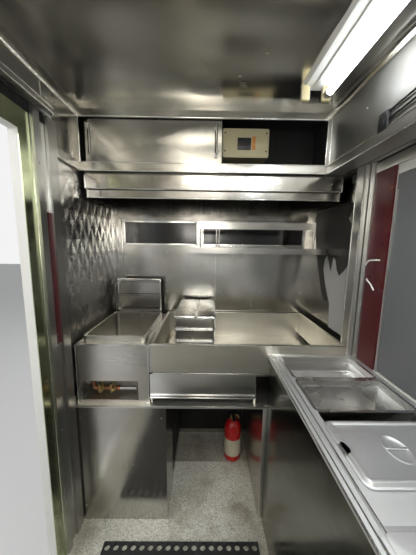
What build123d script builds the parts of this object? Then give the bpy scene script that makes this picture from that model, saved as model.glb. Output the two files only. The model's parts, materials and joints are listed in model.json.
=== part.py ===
"""A compact food cart: a one-axle kitchen trailer with a cooking line across its front end.

Millimetres. +X is the right side, +Y the drawbar, +Z up. The origin is on the ground under the
centre of the cart's outer box. Heights of what stands in the kitchen are counted from the floor.
"""
from build123d import *
import os
from math import asin, cos, hypot, radians, sin

# Kitchen: the room inside the walls
ROOM_WIDTH = 1285.0        # between the linings
ROOM_FRONT = 640.0         # y of the lining behind the cooking line
ROOM_REAR = -1493.0        # y of the rear wall's inner face
ROOM_HEIGHT = 1970.0       # floor to ceiling sheet
DECK_THICKNESS = 60.0
TYRE_RADIUS = 206.0
TYRE_TO_DECK = 58.0
FLOOR_TOP = 2 * TYRE_RADIUS + TYRE_TO_DECK + DECK_THICKNESS     # z of the floor
WALL_THICKNESS = 32.0
LINING = 3.0               # every stainless lining sheet
SHEET = 3.0                # folded sheet of cabinets, hood and counter
COVE = 22.0                # radius of the ceiling sheet's curved edges
ROOF_EDGE = 28.0           # roof thickness at its sides
ROOF_CROWN = 26.0          # rise of the flat middle above the sides
ROOF_FLAT = 280.0          # half width of the flat middle
ROOF_OVERHANG = 15.0

# Clearances
RUNNING = 5.0              # between moving pieces
SEAT = 0.3                 # a runner or a roller on its rail
FIT = 0.5                  # a shaft in its bore

HALF_ROOM = ROOM_WIDTH / 2
WALL_INNER = HALF_ROOM + LINING
BODY_HALF = WALL_INNER + WALL_THICKNESS
BODY_FRONT = ROOM_FRONT + LINING + WALL_THICKNESS
BODY_REAR = ROOM_REAR - WALL_THICKNESS
WALL_TOP = FLOOR_TOP + ROOM_HEIGHT + LINING
ROOF_TOP = WALL_TOP + ROOF_EDGE + ROOF_CROWN
DECK_LOW = FLOOR_TOP - DECK_THICKNESS

# Chassis
OVERALL_LENGTH = 3080.0    # rear edge of the roof to the nose of the coupler
RAIL_WIDTH = 50.0
RAIL_HEIGHT = 100.0
CROSS_DEPTH = 75.0         # of each cross member
DRAWBAR_DEPTH = 70.0
DRAWBAR_REACH = 245.0      # of each arm under the kitchen
COUPLER_NOSE = 40.0        # radius of the coupler's nose
COUPLER_LENGTH = 150.0
BALL_RADIUS = 25.4         # two inch tow ball
SKIRT_DROP = 208.0
SKIRT_INSET = 60.0
ARCH_GAP = 42.0            # tyre to wheel arch
RAIL_LOW = DECK_LOW - RAIL_HEIGHT
NOSE_Y = OVERALL_LENGTH / 2
BALL_Y = NOSE_Y - COUPLER_NOSE

# Axle and wheels
AXLE_Y = -430.0
TYRE_WIDTH = 120.0
RIM_RADIUS = 132.0
RIM_HALF = 48.0
STUD_CIRCLE = 75.0
STUD_RADIUS = 8.0
HUB_RADIUS = 34.0
SPINDLE_RADIUS = 15.0
AXLE_TUBE = 50.0
SPRING_REACH = 270.0       # axle to spring eye
SPRING_WIDTH = 44.0
LEAF = 8.0
WHEEL_TRACK = 2 * BODY_HALF - 235.0
RAIL_X = WHEEL_TRACK / 2 - 130.0

# Jack, steady legs, gas
JACK_Y = NOSE_Y - 310.0
JACK_RADIUS = 28.0
JACK_WALL = 4.0
JACK_HIGH = FLOOR_TOP + 270.0
JACK_LOW = RAIL_LOW - 130.0
LEG_Y = BODY_REAR + 85.0
LEG_SIZE = 38.0
LEG_SLEEVE = 6.0           # wall of the sleeve round each leg
LEG_LENGTH = RAIL_LOW - 65.0
LEG_SLEEVE_LOW = RAIL_LOW - 145.0
GAS_INLET_X = -BODY_HALF + 197.5
GAS_INLET_RADIUS = 10.5
GAS_INLET_Z = FLOOR_TOP + 120.0
LOCKER_HALF = 290.0
LOCKER_REAR = BODY_FRONT + 17.0
LOCKER_FRONT = LOCKER_REAR + 368.0
LOCKER_TOP = FLOOR_TOP + 510.0

# Cooking line, across the front of the room
LINE_FRONT = ROOM_FRONT - 540.0    # y of the fronts of fryer and griddle
LEDGE_FRONT = LINE_FRONT - 20.0
LEDGE_TOP = 630.0
LEDGE_THICKNESS = 9.0
FRYER_LEFT = -HALF_ROOM + 15.0
FRYER_WIDTH = 330.0
FRYER_RIGHT = FRYER_LEFT + FRYER_WIDTH
FRYER_TOP = 918.0
FRYER_RIM = 945.0
BAY_HIGH = 743.0           # roof of the fryer's valve bay
GRIDDLE_LEFT = FRYER_RIGHT + 5.0
GRIDDLE_RIGHT = HALF_ROOM - 35.0
GRIDDLE_RIM = 922.0
GRIDDLE_PLATE = 759.0
GRIDDLE_WALL = 16.0
GRIDDLE_STEP = 60.0        # depth of the trough behind the griddle's front
DRAWER_LEFT = GRIDDLE_LEFT + 16.0
DRAWER_WIDTH = 443.0
DRAWER_RIGHT = DRAWER_LEFT + DRAWER_WIDTH
DRAWER_LOW = 671.0
DRAWER_HIGH = 783.0
DRAWER_SETBACK = 45.0      # of its face behind the line's front

# Side openings of the body
TRACK_LOW = ROOM_HEIGHT - 136.0
TRACK_WIDE = 45.0
TRACK_HIGH = TRACK_LOW + 22.0
DOOR_FRONT = LINE_FRONT - 196.0
DOOR_WIDTH = 704.0
DOOR_REAR = DOOR_FRONT - DOOR_WIDTH
DOOR_HEIGHT = TRACK_LOW - 101.0
DOOR_HEAD = 69.0           # height of the frame over the doorway
JAMB = 53.0                # width of the doorway's inner frame
STRIP = 33.0               # width of the aluminium strip beside the jamb
POST_REAR = LINE_FRONT - 70.0
POST_FRONT = LINE_FRONT - 20.0
TRACK_END = POST_REAR - 6.0
HEADER_TOP = ROOM_HEIGHT - COVE - 2.0
HATCH_PANEL = 96.0         # length of the red panel in front of the hatch
INFILL_LOW = 963.0         # the left wall's red panel
INFILL_HIGH = 1485.0
HATCH_FRONT = LINE_FRONT - 125.0
HATCH_LENGTH = 1315.0
HATCH_REAR = HATCH_FRONT - HATCH_LENGTH
HATCH_SILL = 880.0
HATCH_HEAD = 1633.0
WINDOW_HALF = 400.0
WINDOW_SILL = 950.0
WINDOW_HEAD = 1600.0
DOOR_LEAF = DOOR_WIDTH + 16.0
DOOR_STILE = 120.0
DOOR_PANE = (1050.0, 1650.0)

# Steam counter along the right wall
COUNTER_TOP = 875.0
COUNTER_DEPTH = 394.0
COUNTER_EDGE = HALF_ROOM - COUNTER_DEPTH
KNEE_LEFT = -HALF_ROOM + 425.0
KNEE_RIGHT = COUNTER_EDGE - 9.0
PAN_ACROSS = 325.0         # one-third-size steam pan
PAN_ALONG = 176.0
PAN_FLANGE = 11.0
PAN_FLANGE_THICKNESS = 2.5
PAN_WALL = 1.8
PAN_COLLAR = 22.0          # depth of the stacking collar
PAN_STEP = 3.0             # of the collar outside the tapered body
PAN_TAPER = 5.0            # degrees
PAN_DEEP = 150.0
PAN_SHALLOW = 65.0
PAN_X = HALF_ROOM - 182.5  # middle of the pans
PAN_GAP = 1.0
PAN_RIM = COUNTER_TOP + PAN_FLANGE_THICKNESS
PAN_FIRST = LINE_FRONT - 96.0
LID_Y = LINE_FRONT - 492.0
GRIP_OVAL = (26.0, 37.0)   # half width and half length of the recess in the pan lid
GRIP_OFFSET = 25.0
WELL_BITE = 8.0            # width of sheet under each flange
WELL_FRONT = PAN_FIRST + PAN_ALONG / 2 - WELL_BITE
WELL_REAR = LID_Y - PAN_ALONG / 2 + WELL_BITE
POT_X = PAN_X - 17.0
POT_Y = LINE_FRONT - 855.0
POT_RADIUS = 108.0
SEAM_Y = POT_Y - 230.0     # where the well's top meets the plain work top
STACK_PAN_X = GRIDDLE_LEFT + 200.5
STACK_PAN_Y = LINE_FRONT + 300.0
STACK_PAN_WIDTH = 215.0
STACK_PAN_LENGTH = 385.0
STACK_PAN_DEPTH = 129.0
STACK_PITCH = 62.0         # each pan's collar is as deep, and stands on the rim below

# Overhead
CABINET_FRONT = ROOM_FRONT - 404.0
CABINET_DEPTH = 174.0
CABINET_LOW = ROOM_HEIGHT - 263.0
CABINET_LIP = 37.0
CABINET_RIGHT = HALF_ROOM - 116.0
CABINET_STILE = 18.0
CABINET_SPAN = CABINET_RIGHT + HALF_ROOM
CABINET_DOOR_LOW = CABINET_LOW + 22.0
CABINET_DOOR_HIGH = CABINET_DOOR_LOW + 230.0
CROSS_BREAK = 3.0          # height of the creases in the front door
LANE_FRONT = CABINET_FRONT + SHEET + RUNNING + CROSS_BREAK
LANE_BACK = LANE_FRONT + 12.0 + RUNNING
DOOR_SHELL = 12.0          # thickness of each cabinet door
HOOD_FRONT = ROOM_FRONT - 380.0
HOOD_LOW = CABINET_LOW - 113.0
STACK_RADIUS = 90.0
STACK_Y = ROOM_FRONT - 115.0
STACK_TOP = FLOOR_TOP + ROOM_HEIGHT + 250.0
COWL_RADIUS = 130.0
SHELF_FRONT = ROOM_FRONT - 340.0
SHELF_TOP = 1360.0
RACK_LOW = SHELF_TOP + 95.0
RACK_HIGH = RACK_LOW + 35.0
LIGHT_X = CABINET_RIGHT - 173.5
LIGHT_HALF = 51.0
LIGHT_FRONT = LINE_FRONT - 52.0
LIGHT_LENGTH = 1278.0
LIGHT_REAR = LIGHT_FRONT - LIGHT_LENGTH
TUBE_SPACING = 38.0        # of each tube from the batten's middle
TUBE_Z = ROOM_HEIGHT - 54.0
TUBE_RADIUS = 13.0
HOLDER = 14.0              # thickness and half width of a lampholder

# Loose things that belong to the cart
EXTINGUISHER_RADIUS = 52.0
EXTINGUISHER_AT = (KNEE_RIGHT - 92.5, LINE_FRONT + 355.0)
MAT = (-HALF_ROOM + 152.0, COUNTER_EDGE - 30.5, LEDGE_FRONT - 1100.0, LEDGE_FRONT - 84.0)
MAT_THICKNESS = 12.0


def closed_face(outline):
    """A flat face inside a closed run of straight lines."""
    return make_face(Polyline(*outline, close=True))


def along_x(outline, x0, x1):
    """An outline of (y, z) points, extruded from x0 to x1."""
    return extrude(Plane.YZ.offset(x0) * closed_face(outline), x1 - x0)


def along_y(outline, y0, y1):
    """An outline of (x, z) points, extruded from y0 to y1."""
    return extrude(Plane.XZ.offset(-y1) * closed_face(outline), y1 - y0)


def along_z(outline, z0, z1):
    """An outline of (x, y) points, extruded from z0 to z1."""
    return extrude(Plane.XY.offset(z0) * closed_face(outline), z1 - z0)


def slab(x0, x1, y0, y1, z0, z1):
    """A flat panel or bar between two corners."""
    return Pos((x0 + x1) / 2, (y0 + y1) / 2, (z0 + z1) / 2) * Box(x1 - x0, y1 - y0, z1 - z0)


def rod(start, end, radius):
    """A round bar between two points."""
    axis = Vector(*end) - Vector(*start)
    return extrude(Plane(origin=start, z_dir=axis) * Circle(radius), axis.length)


def turned(profile, axis):
    """A revolved outline of (radius, height) points about a vertical axis at (x, y)."""
    ring = Plane.XZ * closed_face(profile)
    return Pos(axis[0], axis[1], 0) * revolve(ring, Axis.Z)


def bent(path, thickness):
    """The outline of a folded sheet: its outer face follows the path, its metal is on the left."""
    inner = []
    for index, point in enumerate(path):
        before = path[max(index - 1, 0)]
        after = path[min(index + 1, len(path) - 1)]
        normals = []
        for start, end in ((before, point), (point, after)):
            run = hypot(end[0] - start[0], end[1] - start[1])
            if run > 0:
                normals.append(((start[1] - end[1]) / run, (end[0] - start[0]) / run))
        sum_u = sum(normal[0] for normal in normals)
        sum_v = sum(normal[1] for normal in normals)
        scale = thickness * len(normals) / (sum_u ** 2 + sum_v ** 2)
        if len(normals) == 2:
            scale = 2 * thickness / (sum_u ** 2 + sum_v ** 2)
        inner.append((point[0] + sum_u * scale, point[1] + sum_v * scale))
    return list(path) + inner[::-1]


def lifted(outline):
    """Points whose second value is a height above the floor, as heights above the ground."""
    return [(first, height + FLOOR_TOP) for first, height in outline]


def both_sides(shape):
    """A left and a right copy of one piece."""
    return Compound([shape, mirror(shape, about=Plane.YZ)])


def floor_deck():
    return slab(-BODY_HALF, BODY_HALF, BODY_REAR, BODY_FRONT, DECK_LOW, FLOOR_TOP)


def end_wall():
    """The front wall, with the gas supply stub on its outside."""
    wall = slab(-BODY_HALF, BODY_HALF, ROOM_FRONT + LINING, BODY_FRONT, FLOOR_TOP, WALL_TOP)
    x, z = GAS_INLET_X, GAS_INLET_Z
    return wall + rod((x, BODY_FRONT, z), (x, BODY_FRONT + 6, z), 24) + \
        rod((x, BODY_FRONT, z), (x, BODY_FRONT + 40, z), GAS_INLET_RADIUS)


def rear_wall():
    wall = slab(-BODY_HALF, BODY_HALF, BODY_REAR, ROOM_REAR, FLOOR_TOP, WALL_TOP)
    window = slab(-WINDOW_HALF, WINDOW_HALF, BODY_REAR - 1, ROOM_REAR + 1,
                  FLOOR_TOP + WINDOW_SILL, FLOOR_TOP + WINDOW_HEAD)
    return wall - window


def left_wall():
    wall = slab(-BODY_HALF, -WALL_INNER, ROOM_REAR, ROOM_FRONT + LINING, FLOOR_TOP, WALL_TOP)
    doorway = slab(-BODY_HALF - 1, -WALL_INNER + 1, DOOR_REAR, DOOR_FRONT,
                   FLOOR_TOP, FLOOR_TOP + DOOR_HEIGHT)
    return wall - doorway


def right_wall():
    wall = slab(WALL_INNER, BODY_HALF, ROOM_REAR, ROOM_FRONT + LINING, FLOOR_TOP, WALL_TOP)
    hatch = slab(WALL_INNER - 1, BODY_HALF + 1, HATCH_REAR, HATCH_FRONT,
                 FLOOR_TOP + HATCH_SILL, FLOOR_TOP + HATCH_HEAD)
    return (wall - hatch) + hatch_hinge_plate()


def roof():
    edge = BODY_HALF + ROOF_OVERHANG
    eaves = WALL_TOP + ROOF_EDGE
    outline = [(-edge, WALL_TOP), (edge, WALL_TOP), (edge, eaves), (ROOF_FLAT, ROOF_TOP),
               (-ROOF_FLAT, ROOF_TOP), (-edge, eaves)]
    panel = along_y(outline, BODY_REAR - ROOF_OVERHANG, BODY_FRONT + ROOF_OVERHANG)
    hole = rod((0, STACK_Y, WALL_TOP - 1), (0, STACK_Y, ROOF_TOP + 1), STACK_RADIUS + FIT)
    return panel - hole


def ceiling_liner():
    """A flat ceiling sheet whose two long edges curve down in coves."""
    steps = 4
    left = -HALF_ROOM
    right = CABINET_RIGHT - LINING
    path = []
    for middle, first in ((right - COVE, 0), (left + COVE, 90)):
        for step in range(steps + 1):
            turn = radians(first + 90 * step / steps)
            path.append((middle + COVE * cos(turn), ROOM_HEIGHT - COVE + COVE * sin(turn)))
    outline = bent(path[::-1], LINING)
    return along_y(lifted(outline), ROOM_REAR, CABINET_FRONT)


def corner_trims():
    """Aluminium angles over the four upright corners of the body."""
    wide = 38.0
    thick = 2.5
    angle = [(0, 0), (0, -wide), (thick, -wide), (thick, thick), (-wide, thick), (-wide, 0)]
    trims = []
    for side, end in ((-1, -1), (1, -1), (-1, 1), (1, 1)):
        corner_y = BODY_FRONT if end > 0 else BODY_REAR
        outline = [(side * (BODY_HALF + u), corner_y + end * v) for u, v in angle]
        trims.append(along_z(outline, DECK_LOW, WALL_TOP))
    return Compound(trims)


def side_skirts():
    """Sheets below the deck's long edges, with an arch over each wheel."""
    arch = TYRE_RADIUS + ARCH_GAP
    rear, front = BODY_REAR + SKIRT_INSET, BODY_FRONT - SKIRT_INSET
    panel = slab(BODY_HALF - SHEET, BODY_HALF, rear, front, DECK_LOW - SKIRT_DROP, DECK_LOW)
    opening = rod((BODY_HALF - 10, AXLE_Y, TYRE_RADIUS), (BODY_HALF + 10, AXLE_Y, TYRE_RADIUS), arch)
    flange = slab(BODY_HALF - 30, BODY_HALF - SHEET, rear, front, DECK_LOW - SHEET, DECK_LOW)
    return both_sides((panel - opening) + flange)


def splash_panels():
    """The lining behind the cooking line, folded along the right wall, with its seam strip.

    On the left wall it stands only above the quilted sheet.
    """
    seam_x = GRIDDLE_LEFT + 307
    back = ROOM_FRONT + LINING
    plan = [(WALL_INNER, LINE_FRONT - 5), (WALL_INNER, back), (-WALL_INNER, back)]
    sheet = along_z(bent(plan, LINING), FLOOR_TOP, WALL_TOP)
    sheet += slab(-WALL_INNER, -HALF_ROOM, POST_FRONT, ROOM_FRONT,
                  FLOOR_TOP + CABINET_LOW, FLOOR_TOP + HEADER_TOP)
    seam = slab(seam_x - 20, seam_x + 20, ROOM_FRONT - 2, ROOM_FRONT,
                FLOOR_TOP + GRIDDLE_RIM + 1, FLOOR_TOP + SHELF_TOP - 40)
    return sheet + seam


def quilted_liner():
    """The pressed sheet on the left wall beside the fryer; its pattern is too fine for a solid."""
    return slab(-WALL_INNER, -HALF_ROOM, POST_FRONT, ROOM_FRONT,
                FLOOR_TOP + LEDGE_TOP, FLOOR_TOP + CABINET_LOW)


def door_frame():
    """The painted frame inside the doorway: two jambs and a head."""
    head = FLOOR_TOP + DOOR_HEIGHT
    outer = slab(-WALL_INNER, -HALF_ROOM, DOOR_REAR - JAMB, DOOR_FRONT + JAMB, FLOOR_TOP, head + DOOR_HEAD)
    return outer - slab(-WALL_INNER - 1, -HALF_ROOM + 1, DOOR_REAR, DOOR_FRONT, FLOOR_TOP - 1, head)


def posts():
    """Upright aluminium posts and channels beside the two side openings."""
    strip = DOOR_FRONT + JAMB
    channel = strip + STRIP
    sill = COUNTER_TOP + 6
    panel = HATCH_FRONT + HATCH_PANEL
    post_table = [
        # outer x, side, rear y, front y, depth, low, high
        (WALL_INNER, -1, strip, channel, 15, 0, TRACK_LOW),
        (WALL_INNER, -1, channel, POST_REAR, LINING, INFILL_HIGH + 6, TRACK_LOW),
        (WALL_INNER, -1, channel, POST_REAR, LINING, 0, INFILL_LOW - 6),
        (WALL_INNER, -1, POST_REAR, POST_FRONT, 15, 0, TRACK_LOW),
        (WALL_INNER, -1, TRACK_END, POST_FRONT, 6, TRACK_HIGH, HEADER_TOP),
        (WALL_INNER, 1, panel, LINE_FRONT - 5, 14, sill, CABINET_LOW),
        (HALF_ROOM, 1, LINE_FRONT, LINE_FRONT + 50, 34, LEDGE_TOP, CABINET_LOW),
    ]
    pieces = []
    for outer, side, rear, front, depth, low, high in post_table:
        start, end = sorted((side * outer, side * (outer - depth)))
        pieces.append(slab(start, end, rear, front, FLOOR_TOP + low, FLOOR_TOP + high))
    return Compound(pieces)


def red_infills():
    """Dark red panels between the aluminium uprights."""
    panels = [
        # side, rear y, front y, low, high
        (-1, DOOR_FRONT + JAMB + STRIP, POST_REAR, INFILL_LOW, INFILL_HIGH),
        (1, HATCH_FRONT, HATCH_FRONT + HATCH_PANEL, COUNTER_TOP + 6, CABINET_LOW),
    ]
    pieces = []
    for side, rear, front, low, high in panels:
        start, end = sorted((side * WALL_INNER, side * (WALL_INNER - 8)))
        pieces.append(slab(start, end, rear, front, FLOOR_TOP + low, FLOOR_TOP + high))
    return Compound(pieces)


def door_track():
    """A C-shaped rail along the left wall, its slot downwards for the door's rollers, and its header."""
    left = -WALL_INNER
    right = left + TRACK_WIDE
    high = TRACK_HIGH
    wall = 3.0
    slot = 9.0                 # half the width of the gap for the hangers
    middle = (left + right) / 2
    outline = [(left, TRACK_LOW), (middle - slot, TRACK_LOW), (middle - slot, TRACK_LOW + wall),
               (left + wall, TRACK_LOW + wall), (left + wall, high - wall),
               (right - wall, high - wall), (right - wall, TRACK_LOW + wall),
               (middle + slot, TRACK_LOW + wall), (middle + slot, TRACK_LOW),
               (right, TRACK_LOW), (right, high), (left + wall, high), (left + wall, HEADER_TOP),
               (left, HEADER_TOP)]
    return along_y(lifted(outline), ROOM_REAR, TRACK_END)


def door_leaf():
    """The entrance door, slid open behind the doorway, on two hangers in the track."""
    inner = -HALF_ROOM + RUNNING
    rear = ROOM_REAR + RUNNING
    front = rear + DOOR_LEAF
    low = FLOOR_TOP + 8
    high = FLOOR_TOP + TRACK_LOW - 8
    leaf = slab(inner, inner + 25, rear, front, low, high)
    pane = slab(inner - 1, inner + 26, rear + DOOR_STILE, front - DOOR_STILE,
                FLOOR_TOP + DOOR_PANE[0], FLOOR_TOP + DOOR_PANE[1])
    middle = -WALL_INNER + TRACK_WIDE / 2
    seat = FLOOR_TOP + TRACK_LOW + 3 + SEAT
    leaf -= pane
    for y in (rear + 110, front - 110):
        leaf += slab(middle - 2, middle + 2, y - 30, y + 30, high, seat + 6)
        leaf += slab(middle - 15, middle + 15, y - 25, y + 25, seat, seat + 8)
    return leaf


def door_glass():
    inner = -HALF_ROOM + RUNNING
    rear = ROOM_REAR + RUNNING
    return slab(inner + 10, inner + 15, rear + DOOR_STILE, rear + DOOR_LEAF - DOOR_STILE,
                FLOOR_TOP + DOOR_PANE[0], FLOOR_TOP + DOOR_PANE[1])


def rear_window_glass():
    return slab(-WINDOW_HALF, WINDOW_HALF, BODY_REAR + 14, BODY_REAR + 19,
                FLOOR_TOP + WINDOW_SILL, FLOOR_TOP + WINDOW_HEAD)


def serving_hatch():
    """The hatch leaf, flush in the right wall, hung from a long hinge barrel at its top."""
    leaf = slab(WALL_INNER, BODY_HALF, HATCH_REAR + RUNNING, HATCH_FRONT - RUNNING,
                FLOOR_TOP + HATCH_SILL + RUNNING, FLOOR_TOP + HATCH_HEAD - RUNNING)
    axis_x, axis_z = hatch_axis()
    barrel = rod((axis_x, HATCH_REAR + 40, axis_z), (axis_x, HATCH_FRONT - 40, axis_z), 5)
    flap = slab(BODY_HALF, BODY_HALF + 2.5, HATCH_REAR + 40, HATCH_FRONT - 40, axis_z - 40, axis_z)
    return leaf + flap + barrel


def hatch_axis():
    return BODY_HALF + 6, FLOOR_TOP + HATCH_HEAD + 2


def hatch_hinge_plate():
    """The fixed half of the hatch hinge, on the wall above the hatch."""
    axis_x, axis_z = hatch_axis()
    return slab(BODY_HALF, BODY_HALF + 2.5, HATCH_REAR + 40, HATCH_FRONT - 40, axis_z + 5.5, axis_z + 40)


def cooking_base():
    """Two folded sheet pedestals under the ledge, with the kneehole between them."""
    front = LINE_FRONT - 8
    back = ROOM_FRONT
    high = FLOOR_TOP + LEDGE_TOP - LEDGE_THICKNESS
    left_plan = [(KNEE_LEFT, back), (KNEE_LEFT, front), (-HALF_ROOM, front), (-HALF_ROOM, back)]
    right_plan = [(HALF_ROOM, back), (HALF_ROOM, LINE_FRONT), (KNEE_RIGHT, LINE_FRONT), (KNEE_RIGHT, back)]
    pieces = []
    for plan in (left_plan, right_plan):
        pieces.append(along_z(bent(plan[::-1], SHEET), FLOOR_TOP, high))
    return Compound(pieces)


def ledge():
    plan = [(-HALF_ROOM, LEDGE_FRONT), (KNEE_RIGHT, LEDGE_FRONT), (KNEE_RIGHT, LINE_FRONT),
            (HALF_ROOM, LINE_FRONT), (HALF_ROOM, ROOM_FRONT), (-HALF_ROOM, ROOM_FRONT)]
    high = FLOOR_TOP + LEDGE_TOP
    return along_z(plan, high - LEDGE_THICKNESS, high)


def fryer_body():
    """A fryer housing with a valve bay below and a deep basin with a raised rim above."""
    base = FLOOR_TOP + LEDGE_TOP
    top = FLOOR_TOP + FRYER_TOP
    rim = FLOOR_TOP + FRYER_RIM
    wide = FRYER_WIDTH - 31
    housing = slab(FRYER_LEFT, FRYER_RIGHT, LINE_FRONT, LINE_FRONT + 490, base, top)
    bay = slab(FRYER_LEFT + 21, FRYER_RIGHT - 49, LINE_FRONT - 1, LINE_FRONT + 160,
               base + 19, FLOOR_TOP + BAY_HIGH)
    middle = Pos((FRYER_LEFT + FRYER_RIGHT) / 2, LINE_FRONT + 235, 0)
    collar = middle * extrude(Plane.XY.offset(top) * RectangleRounded(wide, 400, 24), rim - top)
    basin = Plane.XY.offset(FLOOR_TOP + BAY_HIGH + 25) * RectangleRounded(wide - 20, 380, 18)
    well = middle * extrude(basin, 200)
    return housing + collar - bay - well


def fryer_flue():
    """The flue panel behind the fryer, folded with three forward ribs."""
    front = LINE_FRONT + 450
    low = FRYER_TOP
    high = low + 235
    ribs = (low + 40, low + 132, low + 220)
    outline = [(front + 30, low), (front, low)]
    for height in ribs:
        outline += [(front, height - 4), (front - 8, height), (front - 8, height + 8), (front, height + 12)]
    outline += [(front, high), (front + 30, high)]
    return along_x(lifted(outline), FRYER_LEFT + 34, FRYER_RIGHT - 31)


def valve_manifold():
    """The gas pipe in the valve bay, with its cocks, levers and elbow."""
    y = LINE_FRONT + 50
    z = FLOOR_TOP + LEDGE_TOP + 46
    roof_z = FLOOR_TOP + BAY_HIGH
    elbow = FRYER_LEFT + 52.5
    pipe = rod((elbow - 11, y, z), (elbow + 155, y, z), 11) + rod((elbow, y, z), (elbow, y, roof_z), 11)
    for x in (elbow + 40, elbow + 95, elbow + 150):
        pipe += rod((x, y - 26, z), (x, y + 14, z), 13)
        pipe += rod((x, y, z), (x, y, roof_z), 6)
        pipe += slab(x - 3, x + 3, y - 34, y - 26, z - 18, z + 18)
    return pipe


def griddle():
    """A deep griddle well on cheeks, with its front apron above the drip drawer."""
    front = LINE_FRONT
    back = ROOM_FRONT - 14
    wall = GRIDDLE_WALL
    step = front + GRIDDLE_STEP
    apron = DRAWER_HIGH + RUNNING
    under = GRIDDLE_PLATE - 24
    section = [(front, apron), (step, apron), (step, under), (back, under),
               (back, GRIDDLE_RIM), (back - wall, GRIDDLE_RIM), (back - wall, GRIDDLE_PLATE),
               (step + wall, GRIDDLE_PLATE), (step + wall, apron + wall), (front + wall, apron + wall),
               (front + wall, GRIDDLE_RIM), (front, GRIDDLE_RIM)]
    body = along_x(lifted(section), GRIDDLE_LEFT, GRIDDLE_RIGHT)
    for x0 in (GRIDDLE_LEFT, GRIDDLE_RIGHT - wall):
        body += slab(x0, x0 + wall, front, back, FLOOR_TOP + apron, FLOOR_TOP + GRIDDLE_RIM)
    cheek = 8.0
    for x0 in (GRIDDLE_LEFT, DRAWER_RIGHT + 29, GRIDDLE_RIGHT - cheek):
        body += slab(x0, x0 + cheek, front + 12, back, FLOOR_TOP + LEDGE_TOP, FLOOR_TOP + under)
    runner_high = FLOOR_TOP + DRAWER_LOW + 9 - SEAT
    for x0, x1 in ((GRIDDLE_LEFT + cheek, DRAWER_LEFT + 26), (DRAWER_RIGHT - 26, DRAWER_RIGHT + 29)):
        body += slab(x0, x1, front + 80, back - 60, runner_high - 6, runner_high)
    return body


def drip_drawer():
    """The drip drawer: a folded front with a double lip, and a tray behind it."""
    face = LINE_FRONT + DRAWER_SETBACK
    front = [(face + 3, DRAWER_HIGH), (face, DRAWER_HIGH), (face, DRAWER_LOW + 14),
             (face - 6, DRAWER_LOW + 10), (face - 6, DRAWER_LOW + 6), (face, DRAWER_LOW + 6),
             (face - 6, DRAWER_LOW), (face + 3, DRAWER_LOW)]
    panel = along_x(lifted(front), DRAWER_LEFT, DRAWER_RIGHT)
    x0, x1 = DRAWER_LEFT + 12, DRAWER_RIGHT - 12
    y0, y1 = face + 3, LINE_FRONT + 460
    z0, z1 = FLOOR_TOP + DRAWER_LOW + 9, FLOOR_TOP + GRIDDLE_PLATE - 35
    tray = slab(x0, x1, y0, y1, z0, z1) - slab(x0 + 3, x1 - 3, y0 + 3, y1 - 3, z0 + 3, z1 + 1)
    return panel + tray


def steam_counter():
    """The counter: one long folded sheet with a moulded edge, pierced for the pans, on a far end panel."""
    edge = COUNTER_EDGE
    top = COUNTER_TOP
    path = [(edge + 10, 0), (edge + 10, top - 30), (edge, top - 30), (edge, top + 4), (edge + 13, top + 4),
            (edge + 13, top - 5), (edge + 35, top - 5), (edge + 35, top), (HALF_ROOM, top)]
    sheet = along_y(lifted(bent(path[::-1], SHEET)), ROOM_REAR, LINE_FRONT)
    half = PAN_ACROSS / 2 - WELL_BITE
    for x, y0, y1 in ((PAN_X, WELL_REAR, WELL_FRONT), (POT_X, POT_Y - half, POT_Y + half)):
        sheet -= slab(x - half, x + half, y0, y1, FLOOR_TOP + top - 20, FLOOR_TOP + top + 1)
    inside = edge + 10 + SHEET
    sheet += slab(inside, HALF_ROOM, LINE_FRONT - 8, LINE_FRONT, FLOOR_TOP, FLOOR_TOP + top - 6)
    seam = slab(edge + 34, HALF_ROOM + 1, SEAM_Y - 1.5, SEAM_Y + 1.5,
                FLOOR_TOP + top - 1.2, FLOOR_TOP + top + 1)
    return sheet - seam


def pan(x, y, rim, across, along, depth, collar=PAN_COLLAR):
    """A tapered pan with rounded corners, a flange and a stacking collar, hanging from its rim."""
    wall = PAN_WALL
    down = Plane(origin=(x, y, rim), x_dir=(1, 0, 0), z_dir=(0, 0, -1))
    wide, long = across - 2 * PAN_FLANGE, along - 2 * PAN_FLANGE
    low_wide, low_long = wide - 2 * PAN_STEP, long - 2 * PAN_STEP
    body = extrude(down * RectangleRounded(across, along, 20), PAN_FLANGE_THICKNESS)
    body += extrude(down * RectangleRounded(wide, long, 24), collar)
    body += extrude(down * RectangleRounded(low_wide, low_long, 22), depth, taper=PAN_TAPER)
    body -= extrude(down * RectangleRounded(wide - 2 * wall, long - 2 * wall, 22), collar - wall)
    inner = RectangleRounded(low_wide - 2 * wall, low_long - 2 * wall, 20)
    return body - extrude(down * inner, depth - wall, taper=PAN_TAPER)


def steam_pans():
    """The pans that hang in the counter's well, from the cooking line towards the rear."""
    pan_table = [
        # middle y, depth
        (PAN_FIRST, PAN_SHALLOW),
        (PAN_FIRST - PAN_ALONG - PAN_GAP, PAN_DEEP),
        (LID_Y, PAN_DEEP),
    ]
    return Compound([pan(PAN_X, y, FLOOR_TOP + PAN_RIM, PAN_ACROSS, PAN_ALONG, depth)
                     for y, depth in pan_table])


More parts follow.
